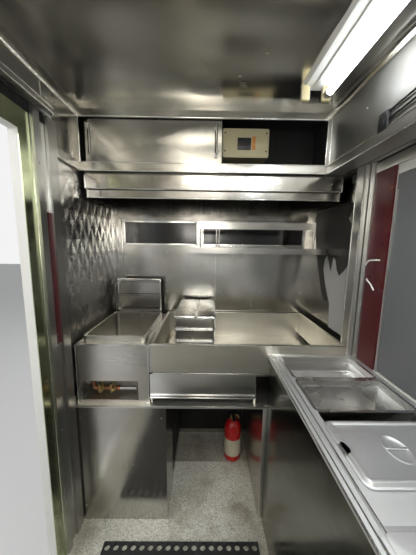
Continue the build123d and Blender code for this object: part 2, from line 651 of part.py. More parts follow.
def pan_lid():
    """A pressed lid on the third pan, with an oval recess for its grip and a spoon notch."""
    low = FLOOR_TOP + PAN_RIM + SEAT
    base = Plane(origin=(PAN_X, LID_Y, low), x_dir=(1, 0, 0), z_dir=(0, 0, 1))
    lid = extrude(base * RectangleRounded(PAN_ACROSS, PAN_ALONG + 12, 18), 4)
    lid += extrude(base * RectangleRounded(PAN_ACROSS - 34, PAN_ALONG - 20, 16), 9)
    lid -= extrude(base * RectangleRounded(PAN_ACROSS - 40, PAN_ALONG - 26, 14), 7)
    across, along = GRIP_OVAL
    grip = Pos(PAN_X - GRIP_OFFSET, LID_Y, low + 2)
    lid -= grip * extrude(Ellipse(across, along), 10)
    lid += grip * extrude(Ellipse(across + 2, along + 2), 7) - \
        grip * Pos(0, 0, 2) * extrude(Ellipse(across, along), 6)
    lid -= rod((PAN_X - PAN_ACROSS / 2, LID_Y, low - 1), (PAN_X - PAN_ACROSS / 2, LID_Y, low + 20), 14)
    return lid


def adapter_plate():
    """The plate over the second well, with a hole for one round pot."""
    low = FLOOR_TOP + COUNTER_TOP
    plate = Pos(POT_X, POT_Y, low) * extrude(RectangleRounded(PAN_ACROSS + 25, 420, 20), SHEET)
    return plate - rod((POT_X, POT_Y, low - 1), (POT_X, POT_Y, low + SHEET + 1), POT_RADIUS + 4)


def round_pot():
    """A deep round pot that hangs in the adapter plate by its rolled rim."""
    rim = FLOOR_TOP + COUNTER_TOP + SHEET
    low = rim - 210
    wide, wall = POT_RADIUS, 2.0
    profile = [(0, low), (wide - 12, low), (wide, rim), (wide + 12, rim), (wide + 12, rim + 6),
               (wide - wall, rim + 6), (wide - 12 - wall, low + wall), (0, low + wall)]
    return turned(profile, (POT_X, POT_Y))


def spare_pans():
    """Three nested pans with a flat lid, which stand on the griddle plate."""
    x, y, wide, long = STACK_PAN_X, STACK_PAN_Y, STACK_PAN_WIDTH, STACK_PAN_LENGTH
    lowest_rim = FLOOR_TOP + GRIDDLE_PLATE + STACK_PAN_DEPTH
    pans = [pan(x, y, lowest_rim + level * STACK_PITCH, wide, long, STACK_PAN_DEPTH, STACK_PITCH)
            for level in range(3)]
    lid_place = Pos(x, y, lowest_rim + 2 * STACK_PITCH)
    lid = lid_place * extrude(RectangleRounded(wide, long, 18), 4)
    lid += lid_place * extrude(RectangleRounded(wide - 35, long - 35, 14), 9)
    return Compound(pans + [lid])


def upper_cabinet():
    """The cabinet over the line: a folded channel with lips, end plates and two door rails."""
    front, back = CABINET_FRONT, CABINET_FRONT + CABINET_DEPTH
    low, high = CABINET_LOW, ROOM_HEIGHT + LINING
    path = [(front, high - CABINET_LIP), (front, high), (back, high), (back, low), (front, low),
            (front, low + CABINET_LIP)]
    shell = along_x(lifted(bent(path[::-1], SHEET)), -HALF_ROOM, CABINET_RIGHT)
    inner = [(front + SHEET, low + SHEET), (back - SHEET, low + SHEET), (back - SHEET, high - SHEET),
             (front + SHEET, high - SHEET)]
    for x0, x1 in ((-HALF_ROOM, -HALF_ROOM + 5), (CABINET_RIGHT - 5, CABINET_RIGHT)):
        shell += along_x(lifted(inner), x0, x1)
    for x0 in (-HALF_ROOM, CABINET_RIGHT - CABINET_STILE):
        shell += slab(x0, x0 + CABINET_STILE, front, front + SHEET, FLOOR_TOP + low, FLOOR_TOP + high)
    for y in (LANE_FRONT, LANE_BACK):
        shell += slab(-HALF_ROOM + 5, CABINET_RIGHT - 5, y + 2, y + 10,
                      FLOOR_TOP + low + SHEET, FLOOR_TOP + CABINET_DOOR_LOW - SEAT)
    return shell + wall_return()


def wall_return():
    """The cabinet's lip and its edge strip, carried back along the left wall to the post."""
    left, front, low = -HALF_ROOM, CABINET_FRONT, FLOOR_TOP + CABINET_LOW
    lip = slab(left, left + 14, POST_FRONT, front, low, low + SHEET)
    lip += slab(left + 11, left + 14, POST_FRONT, front, low, low + CABINET_LIP)
    return lip + slab(left, left + 2, front - 39, front, low, FLOOR_TOP + HEADER_TOP)


def cabinet_door(left, width, lane):
    """A folded cabinet door: a front sheet with its edges turned back."""
    z0, z1 = FLOOR_TOP + CABINET_DOOR_LOW, FLOOR_TOP + CABINET_DOOR_HIGH
    door = slab(left, left + width, lane, lane + DOOR_SHELL, z0, z1)
    return door - slab(left + SHEET, left + width - SHEET, lane + SHEET, lane + DOOR_SHELL + 1,
                       z0 + SHEET, z1 - SHEET)


def cabinet_door_front():
    """The front bypass door, cross-broken from corner to corner, with a tube handle at its right."""
    left = -HALF_ROOM + 56
    width = CABINET_SPAN / 2 + 28.5
    door = cabinet_door(left, width, LANE_FRONT)
    middle_z = FLOOR_TOP + (CABINET_DOOR_LOW + CABINET_DOOR_HIGH) / 2
    crease = Plane(origin=(left + width / 2, LANE_FRONT, middle_z), x_dir=(1, 0, 0), z_dir=(0, -1, 0))
    field = crease * Rectangle(width - 20, CABINET_DOOR_HIGH - CABINET_DOOR_LOW - 20)
    peak = crease.offset(CROSS_BREAK) * Rectangle(2, 1)
    door += loft([field, peak], ruled=True)
    grip_x, grip_y = left + width - 25, LANE_FRONT - 32
    grip_low, grip_high = middle_z - 56, middle_z + 56
    door += rod((grip_x, grip_y, grip_low - 6), (grip_x, grip_y, grip_high + 6), 6)
    for z in (grip_low, grip_high):
        door += rod((grip_x, grip_y, z), (grip_x, LANE_FRONT + 1, z), 4.5)
    return door


def cabinet_door_back():
    """The rear bypass door, with a slot to pull it by at its left."""
    left = -HALF_ROOM + 31
    door = cabinet_door(left, CABINET_SPAN / 2 + 15.5, LANE_BACK)
    return door - slab(left + 12, left + 26, LANE_BACK - 1, LANE_BACK + SHEET + 1,
                       FLOOR_TOP + CABINET_DOOR_LOW + 61, FLOOR_TOP + CABINET_DOOR_LOW + 166)


def control_box():
    """The beige box at the back of the cabinet's open half."""
    left = -HALF_ROOM + CABINET_SPAN / 2 + 92.5
    low = FLOOR_TOP + CABINET_LOW + 93
    box = slab(left, left + 225, CABINET_FRONT + 74, CABINET_FRONT + CABINET_DEPTH - SHEET, low, low + 132)
    return fillet(box.edges().filter_by(Axis.Y), 8)


def soffit_right():
    """The trunk along the right wall under the ceiling, with a projecting lip at its foot."""
    left, right = CABINET_RIGHT, WALL_INNER
    low, high = CABINET_LOW, ROOM_HEIGHT + LINING
    path = [(right, low), (left - 8, low), (left - 8, low + CABINET_LIP), (left, low + CABINET_LIP),
            (left, high), (right, high)]
    front_run = along_y(lifted(bent(path[::-1], SHEET)), ROOM_REAR, CABINET_FRONT)
    tail = [(left, low), (right, low), (right, low + SHEET), (left + SHEET, low + SHEET),
            (left + SHEET, high), (left, high)]
    lining = slab(HALF_ROOM, WALL_INNER + 1, LINE_FRONT - 5, ROOM_FRONT + 1,
                  FLOOR_TOP + low - 1, FLOOR_TOP + high + 1)
    return front_run + along_y(lifted(tail), CABINET_FRONT, ROOM_FRONT) - lining


def exhaust_hood():
    """The canopy: one folded section with a stepped fascia and a gutter at its back, and end plates."""
    back, top = ROOM_FRONT, CABINET_LOW
    face, low = HOOD_FRONT, HOOD_LOW
    path = [(back - 25, low - 34), (back - 25, low - 64), (back, low - 64), (back, top), (face + 15, top),
            (face + 15, top - 5), (face, top - 5), (face, low + 39), (face + 14, low + 39),
            (face + 14, low), (face + 30, low)]
    x0, x1 = -HALF_ROOM + 21, HALF_ROOM - 33
    hood = along_x(lifted(bent(path, SHEET)), x0, x1)
    end = [(face + 17, low), (back - SHEET, low), (back - SHEET, top - SHEET), (face + 18, top - SHEET)]
    for start, stop in ((x0, x0 + SHEET), (x1 - SHEET, x1)):
        hood += along_x(lifted(end), start, stop)
    flue = rod((0, STACK_Y, FLOOR_TOP + top - 10), (0, STACK_Y, FLOOR_TOP + top + 1), STACK_RADIUS - SHEET)
    return hood - flue


def exhaust_stack():
    """The flue pipe through the roof, with its roof flange and a cowl on three straps."""
    low = FLOOR_TOP + CABINET_LOW
    seat, top = ROOF_TOP, STACK_TOP
    mouth = top - 80
    inner, outer = STACK_RADIUS - SHEET, STACK_RADIUS
    pipe = turned([(inner, low), (outer, low), (outer, seat), (outer + 40, seat), (outer + 40, seat + SHEET),
                   (outer, seat + SHEET), (outer, mouth), (inner, mouth)], (0, STACK_Y))
    brim = top - 44
    cowl = turned([(0, top - 4), (COWL_RADIUS, brim), (COWL_RADIUS, brim + 4), (0, top)], (0, STACK_Y))
    reach = STACK_RADIUS + 2
    for turn in (90, 210, 330):
        x, y = reach * cos(radians(turn)), STACK_Y + reach * sin(radians(turn))
        pipe += rod((x, y, mouth - 40), (x, y, top - 30), 4)
    return pipe + cowl


def back_shelf():
    """The shelf over the griddle, folded down at its front, with a wall rail to its left."""
    x0 = GRIDDLE_LEFT + 164
    path = [(ROOM_FRONT, SHELF_TOP), (SHELF_FRONT, SHELF_TOP), (SHELF_FRONT, SHELF_TOP - 31),
            (SHELF_FRONT + 12, SHELF_TOP - 31)]
    shelf = along_x(lifted(bent(path, SHEET)), x0, HALF_ROOM)
    back = ROOM_FRONT
    rail = bent([(back - 12, SHELF_TOP), (back, SHELF_TOP), (back, SHELF_TOP + 16)], SHEET)
    return shelf + along_x(lifted(rail), -HALF_ROOM + 65, HALF_ROOM)


def shelf_rack():
    """A rail over the front of the shelf on four posts."""
    y = SHELF_FRONT + 30
    low = FLOOR_TOP + SHELF_TOP
    left, right = GRIDDLE_LEFT + 214.5, HALF_ROOM - 112.5
    rack = slab(left, right, y - 4, y + 4, FLOOR_TOP + RACK_LOW, FLOOR_TOP + RACK_HIGH)
    for x in (left + 6.5, left + 91.5, left + 105.5, right - 6.5):
        rack += rod((x, y, low), (x, y, FLOOR_TOP + RACK_LOW + 5), 4)
    return rack


def light_fixture():
    """A twin ceiling batten with four lampholders."""
    half, top = LIGHT_HALF, ROOM_HEIGHT
    profile = [(-half, 0), (-half, -16), (-half + 11, -26), (half - 11, -26), (half, -16), (half, 0)]
    outline = [(LIGHT_X + across, top + rise) for across, rise in profile]
    batten = along_y(lifted(outline), LIGHT_REAR, LIGHT_FRONT)
    for x in (LIGHT_X - TUBE_SPACING, LIGHT_X + TUBE_SPACING):
        for y in (LIGHT_REAR + 10, LIGHT_FRONT - 10 - HOLDER):
            batten += slab(x - HOLDER, x + HOLDER, y, y + HOLDER,
                           FLOOR_TOP + TUBE_Z - 16, FLOOR_TOP + top - 5)
    return batten


def light_tube():
    x, z = LIGHT_X + TUBE_SPACING, FLOOR_TOP + TUBE_Z
    end = 10 + HOLDER
    return rod((x, LIGHT_REAR + end, z), (x, LIGHT_FRONT - end, z), TUBE_RADIUS)


def extinguisher():
    """A small fire extinguisher that stands in the kneehole."""
    x, y = EXTINGUISHER_AT
    wide, neck = EXTINGUISHER_RADIUS, 16
    profile = [(0, 0), (wide, 0), (wide, 222), (wide - 8, 246), (neck + 6, 260), (neck, 280), (0, 280)]
    bottle = turned([(radius, FLOOR_TOP + height) for radius, height in profile], (x, y))
    valve = slab(x - 12, x + 12, y - 42, y + 18, FLOOR_TOP + 280, FLOOR_TOP + 296)
    link = slab(x - 8, x + 8, y - 5, y + 10, FLOOR_TOP + 296, FLOOR_TOP + 303)
    lever = slab(x - 10, x + 10, y - 72, y + 10, FLOOR_TOP + 303, FLOOR_TOP + 309)
    return bottle + valve + link + lever


def rubber_mat():
    x0, x1, y0, y1 = MAT
    return slab(x0, x1, y0, y1, FLOOR_TOP, FLOOR_TOP + MAT_THICKNESS)


def chassis_frame():
    """Two rails, cross members, the converging drawbar and the sleeves of the rear legs, welded."""
    half = RAIL_WIDTH / 2
    tip = NOSE_Y - COUPLER_LENGTH
    frame = None
    for side in (-1, 1):
        middle = side * RAIL_X
        rail = slab(middle - half, middle + half, BODY_REAR + 25, BODY_FRONT, RAIL_LOW, DECK_LOW)
        root = BODY_FRONT - DRAWBAR_REACH
        arm = along_z([(side * (RAIL_X - half), root), (side * (RAIL_X + half), root), (side * 55, tip),
                       (side * 5, tip)], DECK_LOW - 10 - DRAWBAR_DEPTH, DECK_LOW - 10)
        frame = rail + arm if frame is None else frame + rail + arm
        frame += leg_sleeve(side)
    for y in (BODY_REAR + 25, AXLE_Y - 470, AXLE_Y + 430, BODY_FRONT - 50):
        frame += slab(-RAIL_X, RAIL_X, y, y + 50, DECK_LOW - CROSS_DEPTH, DECK_LOW)
    nose = slab(-50, 50, tip - 110, tip, DECK_LOW - 7 - DRAWBAR_DEPTH, DECK_LOW - 13)
    plate = slab(-150, 150, JACK_Y - 50, JACK_Y + 50, DECK_LOW - 16, DECK_LOW - 2)
    bore = rod((0, JACK_Y, RAIL_LOW - 20), (0, JACK_Y, DECK_LOW + 10), JACK_RADIUS)
    return frame + nose + plate - bore


def leg_sleeve(side):
    """A square sleeve outside one chassis rail, open below for its leg."""
    outer = side * (RAIL_X + RAIL_WIDTH / 2)
    x0, x1 = sorted((outer, outer + side * (LEG_SIZE + 2 * LEG_SLEEVE)))
    reach = LEG_SIZE / 2
    sleeve = slab(x0, x1, LEG_Y - reach - LEG_SLEEVE, LEG_Y + reach + LEG_SLEEVE, LEG_SLEEVE_LOW, DECK_LOW)
    bore = slab(x0 + LEG_SLEEVE - FIT, x1 - LEG_SLEEVE + FIT, LEG_Y - reach - FIT, LEG_Y + reach + FIT,
                LEG_SLEEVE_LOW - 1, DECK_LOW - 4)
    return sleeve - bore


def coupler():
    """The ball coupler: a tapering pressed housing with a round nose, a socket and a latch lever."""
    low, high = DECK_LOW - 62, DECK_LOW - 10
    tip, nose = NOSE_Y - COUPLER_LENGTH, COUPLER_NOSE
    shape = along_z([(-55, tip), (55, tip), (nose, BALL_Y), (-nose, BALL_Y)], low, high)
    shape += rod((0, BALL_Y, low), (0, BALL_Y, high), nose)
    shape += turned([(0, high), (34, high), (18, high + 18), (0, high + 18)], (0, BALL_Y))
    socket = rod((0, BALL_Y, low - 1), (0, BALL_Y, low + 30), BALL_RADIUS + FIT)
    socket += Pos(0, BALL_Y, low + 30) * Sphere(BALL_RADIUS + FIT)
    lever = slab(-9, 9, tip + 5, BALL_Y - 22, high, high + 12)
    return shape + lever - socket


def jack_tube():
    """The jack's fixed tube in the drawbar plate, with its collar, cap and crank."""
    inner, outer = JACK_RADIUS - JACK_WALL, JACK_RADIUS
    low, high = JACK_LOW, JACK_HIGH
    crank_z = high - 30
    tube = turned([(inner, low), (outer, low), (outer, DECK_LOW - 2), (outer + 22, DECK_LOW - 2),
                   (outer + 22, DECK_LOW + 6), (outer, DECK_LOW + 6), (outer, high),
                   (0, high), (0, high - 6), (inner, high - 6)], (0, JACK_Y))
    tube += rod((outer - 2, JACK_Y, crank_z), (150, JACK_Y, crank_z), 7)
    return tube + rod((143, JACK_Y, crank_z), (143, JACK_Y + 110, crank_z), 7)


def jack_leg():
    """The jack's inner leg and its round foot, which reach the ground."""
    inner = JACK_RADIUS - JACK_WALL - FIT
    high = JACK_LOW + 200
    return turned([(0, 0), (75, 0), (75, 6), (inner, 14), (inner, high), (0, high)], (0, JACK_Y))


def rear_leg(side):
    """A square steady leg with its foot plate, in the sleeve beside the chassis rail."""
    x = side * (RAIL_X + RAIL_WIDTH / 2 + LEG_SLEEVE + LEG_SIZE / 2)
    half = LEG_SIZE / 2
    foot = extrude(Plane(origin=(x, LEG_Y, 0)) * RectangleRounded(92, 92, 12), 8)
    return foot + slab(x - half, x + half, LEG_Y - half, LEG_Y + half, 8, LEG_LENGTH)


def axle_beam():
    """The axle tube, its spring pads and the two spindles."""
    half = AXLE_TUBE / 2
    inner = WHEEL_TRACK / 2 - TYRE_WIDTH / 2 - 20
    beam = slab(-inner, inner, AXLE_Y - half, AXLE_Y + half, TYRE_RADIUS - half, TYRE_RADIUS + half)
    reach = WHEEL_TRACK / 2 + 24
    return beam + rod((-reach, AXLE_Y, TYRE_RADIUS), (reach, AXLE_Y, TYRE_RADIUS), SPINDLE_RADIUS)


def leaf_springs():
    """A three-leaf spring under each rail, with rolled eyes and hanger brackets."""
    leaf = LEAF
    seat = TYRE_RADIUS + AXLE_TUBE / 2
    half = SPRING_WIDTH / 2
    rise = RAIL_LOW - 26 - (seat + 2.5 * leaf)
    bend = (SPRING_REACH ** 2 + rise ** 2) / (2 * rise)
    centre_z = seat + 3 * leaf + bend
    spring = None
    for index, share in enumerate((0.45, 0.72, 1.0)):
        outer = bend + (3 - index) * leaf
        reach = asin(min(share * SPRING_REACH / bend, 1))
        ring = Circle(outer) - Circle(outer - leaf)
        far = outer * 1.2
        wedge = closed_face([(0, 0), (-far * sin(reach), -far * cos(reach)), (0, -far * 1.2),
                             (far * sin(reach), -far * cos(reach))])
        side_on = Plane(origin=(RAIL_X - half, AXLE_Y, centre_z), x_dir=(0, 1, 0), z_dir=(1, 0, 0))
        band = extrude(side_on * (ring & wedge), SPRING_WIDTH)
        spring = band if spring is None else spring + band
    eye_z = seat + 3 * leaf + rise - leaf / 2
    for end in (-1, 1):
        y = AXLE_Y + end * SPRING_REACH
        spring += rod((RAIL_X - half - 2, y, eye_z), (RAIL_X + half + 2, y, eye_z), 13)
        spring += slab(RAIL_X - half - 2, RAIL_X + half + 2, y - 18, y + 18, eye_z, RAIL_LOW)
    return both_sides(spring)


def wheel_centre(side):
    return side * WHEEL_TRACK / 2


def around_axle(profile, side):
    """An outline of (radius, x from the wheel's middle) points, revolved about the axle."""
    outline = [(wheel_centre(side) + side * across, radius) for radius, across in profile]
    return Pos(0, AXLE_Y, TYRE_RADIUS) * revolve(Plane.XZ * closed_face(outline), Axis.X)


def tyre(side):
    half, outer = TYRE_WIDTH / 2, TYRE_RADIUS
    profile = [(RIM_RADIUS, -RIM_HALF), (outer - 30, -half), (outer - 12, -half + 6), (outer, -half + 20),
               (outer, half - 20), (outer - 12, half - 6), (outer - 30, half), (RIM_RADIUS, RIM_HALF)]
    return around_axle(profile, side)


def rim(side):
    """A dished steel rim with its hub and five stud holes."""
    bore, hub, well = SPINDLE_RADIUS + FIT, HUB_RADIUS, RIM_RADIUS - 8
    profile = [(RIM_RADIUS, -RIM_HALF), (RIM_RADIUS, RIM_HALF), (well, RIM_HALF), (well - 34, 18), (hub, 26),
               (hub, RIM_HALF), (bore, RIM_HALF), (bore, -24), (hub, -24), (hub, 20), (well - 34, 12),
               (well - 8, 22), (well, -RIM_HALF)]
    wheel = around_axle(profile, side)
    x = wheel_centre(side)
    for index in range(5):
        turn = radians(72 * index + 90)
        y, z = AXLE_Y + STUD_CIRCLE * cos(turn), TYRE_RADIUS + STUD_CIRCLE * sin(turn)
        wheel -= rod((x - RIM_HALF, y, z), (x + RIM_HALF, y, z), STUD_RADIUS)
    return wheel


def gas_locker():
    """An open-topped sheet locker on the drawbar, with a drain slot in its floor."""
    low = DECK_LOW - 10
    box = slab(-LOCKER_HALF, LOCKER_HALF, LOCKER_REAR, LOCKER_FRONT, low, LOCKER_TOP)
    box -= slab(-LOCKER_HALF + 3, LOCKER_HALF - 3, LOCKER_REAR + 3, LOCKER_FRONT - 3, low + 4, LOCKER_TOP + 1)
    box -= slab(-100, 100, LOCKER_REAR + 150, LOCKER_REAR + 190, low - 1, low + 5)
    y, z = locker_hinge()
    return box + slab(-LOCKER_HALF, LOCKER_HALF, y - 4, LOCKER_REAR, z - 4 - FIT - SHEET, z - 4 - FIT)


def locker_lid():
    """The locker's lid: a shallow turned-down cover, hinged along its rear edge."""
    low, high = LOCKER_TOP - 26, LOCKER_TOP + SEAT + SHEET
    side = LOCKER_HALF + RUNNING
    rear = LOCKER_REAR - 3
    cover = slab(-side - SHEET, side + SHEET, rear, LOCKER_FRONT + RUNNING + SHEET, low, high)
    cover -= slab(-side, side, rear - 1, LOCKER_FRONT + RUNNING, low - 1, high - SHEET)
    y, z = locker_hinge()
    return cover + rod((-side, y, z), (side, y, z), 4)


def locker_hinge():
    return LOCKER_REAR - 6, LOCKER_TOP + SEAT + SHEET / 2


def tail_lights():
    place = Pos(BODY_HALF - 107.5, BODY_REAR, DECK_LOW + DECK_THICKNESS / 2)
    lamp = place * Rot(90, 0, 0) * extrude(RectangleRounded(110, 42, 8), 12)
    return both_sides(lamp)


NODES = {
    "floor_deck": floor_deck, "end_wall": end_wall, "rear_wall": rear_wall, "left_wall": left_wall,
    "right_wall": right_wall, "roof": roof, "ceiling_liner": ceiling_liner, "corner_trims": corner_trims,
    "side_skirts": side_skirts, "splash_panels": splash_panels, "quilted_liner": quilted_liner,
    "door_frame": door_frame, "posts": posts, "red_infills": red_infills, "door_track": door_track,
    "door_leaf": door_leaf, "door_glass": door_glass, "rear_window_glass": rear_window_glass,
    "serving_hatch": serving_hatch, "cooking_base": cooking_base, "ledge": ledge,
    "fryer_body": fryer_body, "fryer_flue": fryer_flue, "valve_manifold": valve_manifold,
    "griddle": griddle, "drip_drawer": drip_drawer, "steam_counter": steam_counter,
    "steam_pans": steam_pans, "pan_lid": pan_lid, "adapter_plate": adapter_plate, "round_pot": round_pot,
    "spare_pans": spare_pans, "upper_cabinet": upper_cabinet,
    "cabinet_door_front": cabinet_door_front, "cabinet_door_back": cabinet_door_back,
    "control_box": control_box, "soffit_right": soffit_right, "exhaust_hood": exhaust_hood,
    "exhaust_stack": exhaust_stack, "back_shelf": back_shelf, "shelf_rack": shelf_rack,
    "light_fixture": light_fixture, "light_tube": light_tube, "extinguisher": extinguisher,
    "rubber_mat": rubber_mat, "chassis_frame": chassis_frame, "coupler": coupler,
    "jack_tube": jack_tube, "jack_leg": jack_leg, "axle_beam": axle_beam, "leaf_springs": leaf_springs,
    "gas_locker": gas_locker, "locker_lid": locker_lid, "tail_lights": tail_lights,
}


def main():
    os.makedirs("parts", exist_ok=True)
    for name, build in NODES.items():
        export_step(build(), f"parts/{name}.step")
    for name, side in (("left", -1), ("right", 1)):
        export_step(tyre(side), f"parts/tyre_{name}.step")
        export_step(rim(side), f"parts/rim_{name}.step")
        export_step(rear_leg(side), f"parts/rear_leg_{name}.step")


main()
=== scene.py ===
"""The looks of a small food cart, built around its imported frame.

Every piece is in metres in the cart's own frame: +X right, +Y to the drawbar, +Z up.
"""
import json
import logging
import math
from collections.abc import Callable
from dataclasses import dataclass
from enum import Enum

import bmesh
import bpy
from mathutils import Matrix, Vector, noise

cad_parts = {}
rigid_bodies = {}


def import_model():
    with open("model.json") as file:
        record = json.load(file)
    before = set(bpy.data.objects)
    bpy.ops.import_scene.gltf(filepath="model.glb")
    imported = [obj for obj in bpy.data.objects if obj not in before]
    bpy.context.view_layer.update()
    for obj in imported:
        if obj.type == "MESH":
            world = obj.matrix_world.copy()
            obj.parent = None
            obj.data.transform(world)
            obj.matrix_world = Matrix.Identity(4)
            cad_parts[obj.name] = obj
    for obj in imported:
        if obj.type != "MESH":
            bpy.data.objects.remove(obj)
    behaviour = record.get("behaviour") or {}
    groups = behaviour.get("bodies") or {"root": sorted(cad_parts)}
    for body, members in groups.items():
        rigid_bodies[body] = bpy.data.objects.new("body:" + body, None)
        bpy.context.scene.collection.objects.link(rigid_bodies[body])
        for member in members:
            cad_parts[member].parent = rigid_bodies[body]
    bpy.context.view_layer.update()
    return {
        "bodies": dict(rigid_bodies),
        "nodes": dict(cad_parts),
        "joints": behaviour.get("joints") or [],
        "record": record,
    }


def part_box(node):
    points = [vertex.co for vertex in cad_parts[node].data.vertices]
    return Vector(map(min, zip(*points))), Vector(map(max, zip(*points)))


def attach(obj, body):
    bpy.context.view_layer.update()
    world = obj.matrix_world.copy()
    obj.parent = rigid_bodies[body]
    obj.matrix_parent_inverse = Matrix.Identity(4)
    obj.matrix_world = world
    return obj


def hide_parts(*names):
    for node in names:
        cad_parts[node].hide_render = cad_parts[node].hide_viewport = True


LOG = logging.getLogger("food_cart")
Piece = bpy.types.Object
Face = bpy.types.MeshPolygon
Material = bpy.types.Material
Socket = bpy.types.NodeSocket
Pair = tuple[float, float]
Pairs = tuple[Pair, ...]
Point = tuple[float, float, float]
Colour = tuple[float, float, float]
Run = tuple[Point, Point]
Box = tuple[Vector, Vector]

# Planes of the cart: the floor's top, the room's half width, the cooking line's front, the splash
# panels' face, the underside of the ledge over the kneehole, and the rear wall's outer face.
FLOOR = 0.530
ROOM_HALF = 0.6425
LINE_FRONT = 0.100
END_WALL = 0.640
KNEE_TOP = 1.150
REAR_FACE = -1.527

# The radius at which a turned profile closes on its axis, and the turns that lay Z along X or Y.
TIP = 0.00001
TURN_X: Point = (0, math.pi / 2, 0)
TURN_Y: Point = (math.pi / 2, 0, 0)


def edit_mode(on: bool) -> None:
    """Enter or leave edit mode."""
    bpy.ops.object.mode_set(mode="EDIT" if on else "OBJECT")


def clear_selection() -> None:
    """Go to object mode with nothing selected."""
    if bpy.context.object and bpy.context.object.mode != "OBJECT":
        edit_mode(False)
    bpy.ops.object.select_all(action="DESELECT")


def take(piece: Piece) -> None:
    """Select one piece alone and make it the active one.

    Args:
        piece: the object to work on.
    """
    clear_selection()
    piece.select_set(True)
    bpy.context.view_layer.objects.active = piece


def corners(node: str) -> Box:
    """The lowest and the highest corner of a CAD node's box at rest.

    Args:
        node: the node's name.

    Returns:
        The two corners.
    """
    low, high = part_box(node)
    return Vector(low), Vector(high)


def level_box(node: str) -> tuple[float, float, Pair]:
    """Where a CAD node lies in plan.

    Args:
        node: the node's name.

    Returns:
        The x and y of its middle, and its width and length.
    """
    low, high = corners(node)
    return (low.x + high.x) / 2, (low.y + high.y) / 2, (high.x - low.x, high.y - low.y)


def pick_faces(piece: Piece, wanted: Callable[[Face], bool]) -> None:
    """Enter edit mode with a piece's wanted faces selected and no others.

    Args:
        piece: the active object, in object mode.
        wanted: tells whether a face is wanted.
    """
    edit_mode(True)
    bpy.ops.mesh.select_mode(type="FACE")
    bpy.ops.mesh.select_all(action="DESELECT")
    edit_mode(False)
    for face in piece.data.polygons:
        face.select = wanted(face)
    edit_mode(True)


def settle(piece: Piece) -> None:
    """Move a piece's place and size into its mesh.

    Args:
        piece: the object to settle.
    """
    take(piece)
    bpy.ops.object.transform_apply(location=True, rotation=True, scale=True)


def added(name: str, operator: Callable, scale: Point = (1, 1, 1), **settings) -> Piece:
    """Add one primitive, name it and settle it.

    Args:
        name: the piece's name.
        operator: the bpy.ops function that adds it.
        scale: its size along its own axes.
        settings: the operator's own values, such as location.

    Returns:
        The new piece, active and selected.
    """
    clear_selection()
    operator(**settings)
    piece = bpy.context.object
    piece.name = name
    piece.scale = scale
    settle(piece)
    return piece


def shape_with(piece: Piece, kind: str, **settings) -> None:
    """Add one modifier to a piece and apply it.

    Args:
        piece: the object to shape.
        kind: the modifier's type name.
        settings: the modifier's own values.
    """
    take(piece)
    modifier = piece.modifiers.new(kind.lower(), kind)
    for name, value in settings.items():
        setattr(modifier, name, value)
    bpy.ops.object.modifier_apply(modifier=modifier.name)


def smooth(piece: Piece, degrees: float = 32.0) -> None:
    """Shade a piece smooth except at its sharper edges.

    Args:
        piece: the object to shade.
        degrees: edges that turn more than this stay sharp.
    """
    take(piece)
    bpy.ops.object.shade_smooth_by_angle(angle=math.radians(degrees))


def bar(name: str, low: Point, high: Point, edge: float = 0.0015, segments: int = 2) -> Piece:
    """A box between two corners with rounded edges.

    Args:
        name: the piece's name.
        low: its lowest corner.
        high: its highest corner.
        edge: the width of the rounding.
        segments: faces across the rounding.

    Returns:
        The new piece, settled.
    """
    size = [b - a for a, b in zip(low, high)]
    middle = [(a + b) / 2 for a, b in zip(low, high)]
    piece = added(name, bpy.ops.mesh.primitive_cube_add, size, size=1, location=middle)
    room = min(size) * 0.45
    shape_with(piece, "BEVEL", width=min(edge, room), segments=segments, limit_method="ANGLE")
    smooth(piece)
    return piece


def tube(name: str, points: list[Point], radius: float, rounding: float = 0.012,
         sides: int = 14) -> Piece:
    """A round bar or pipe that follows straight runs with rounded turns.

    Args:
        name: the piece's name.
        points: the corners of its route.
        radius: half its thickness.
        rounding: how far from each corner its bend starts.
        sides: faces round it.

    Returns:
        The new piece as a mesh.
    """
    route = [Vector(points[0])]
    for before, corner, after in zip(points, points[1:], points[2:]):
        start = Vector(corner) + (Vector(before) - Vector(corner)).normalized() * rounding
        end = Vector(corner) + (Vector(after) - Vector(corner)).normalized() * rounding
        for step in range(5):
            share = step / 4
            one = start.lerp(Vector(corner), share)
            two = Vector(corner).lerp(end, share)
            route.append(one.lerp(two, share))
    route.append(Vector(points[-1]))
    curve = bpy.data.curves.new(name, "CURVE")
    curve.dimensions = "3D"
    spline = curve.splines.new("POLY")
    spline.points.add(len(route) - 1)
    for slot, place in zip(spline.points, route):
        slot.co = (*place, 1)
    curve.bevel_depth = radius
    curve.bevel_resolution = max(1, sides // 4 - 1)
    curve.use_fill_caps = True
    piece = bpy.data.objects.new(name, curve)
    bpy.context.collection.objects.link(piece)
    take(piece)
    bpy.ops.object.convert(target="MESH")
    smooth(piece, 50)
    return piece


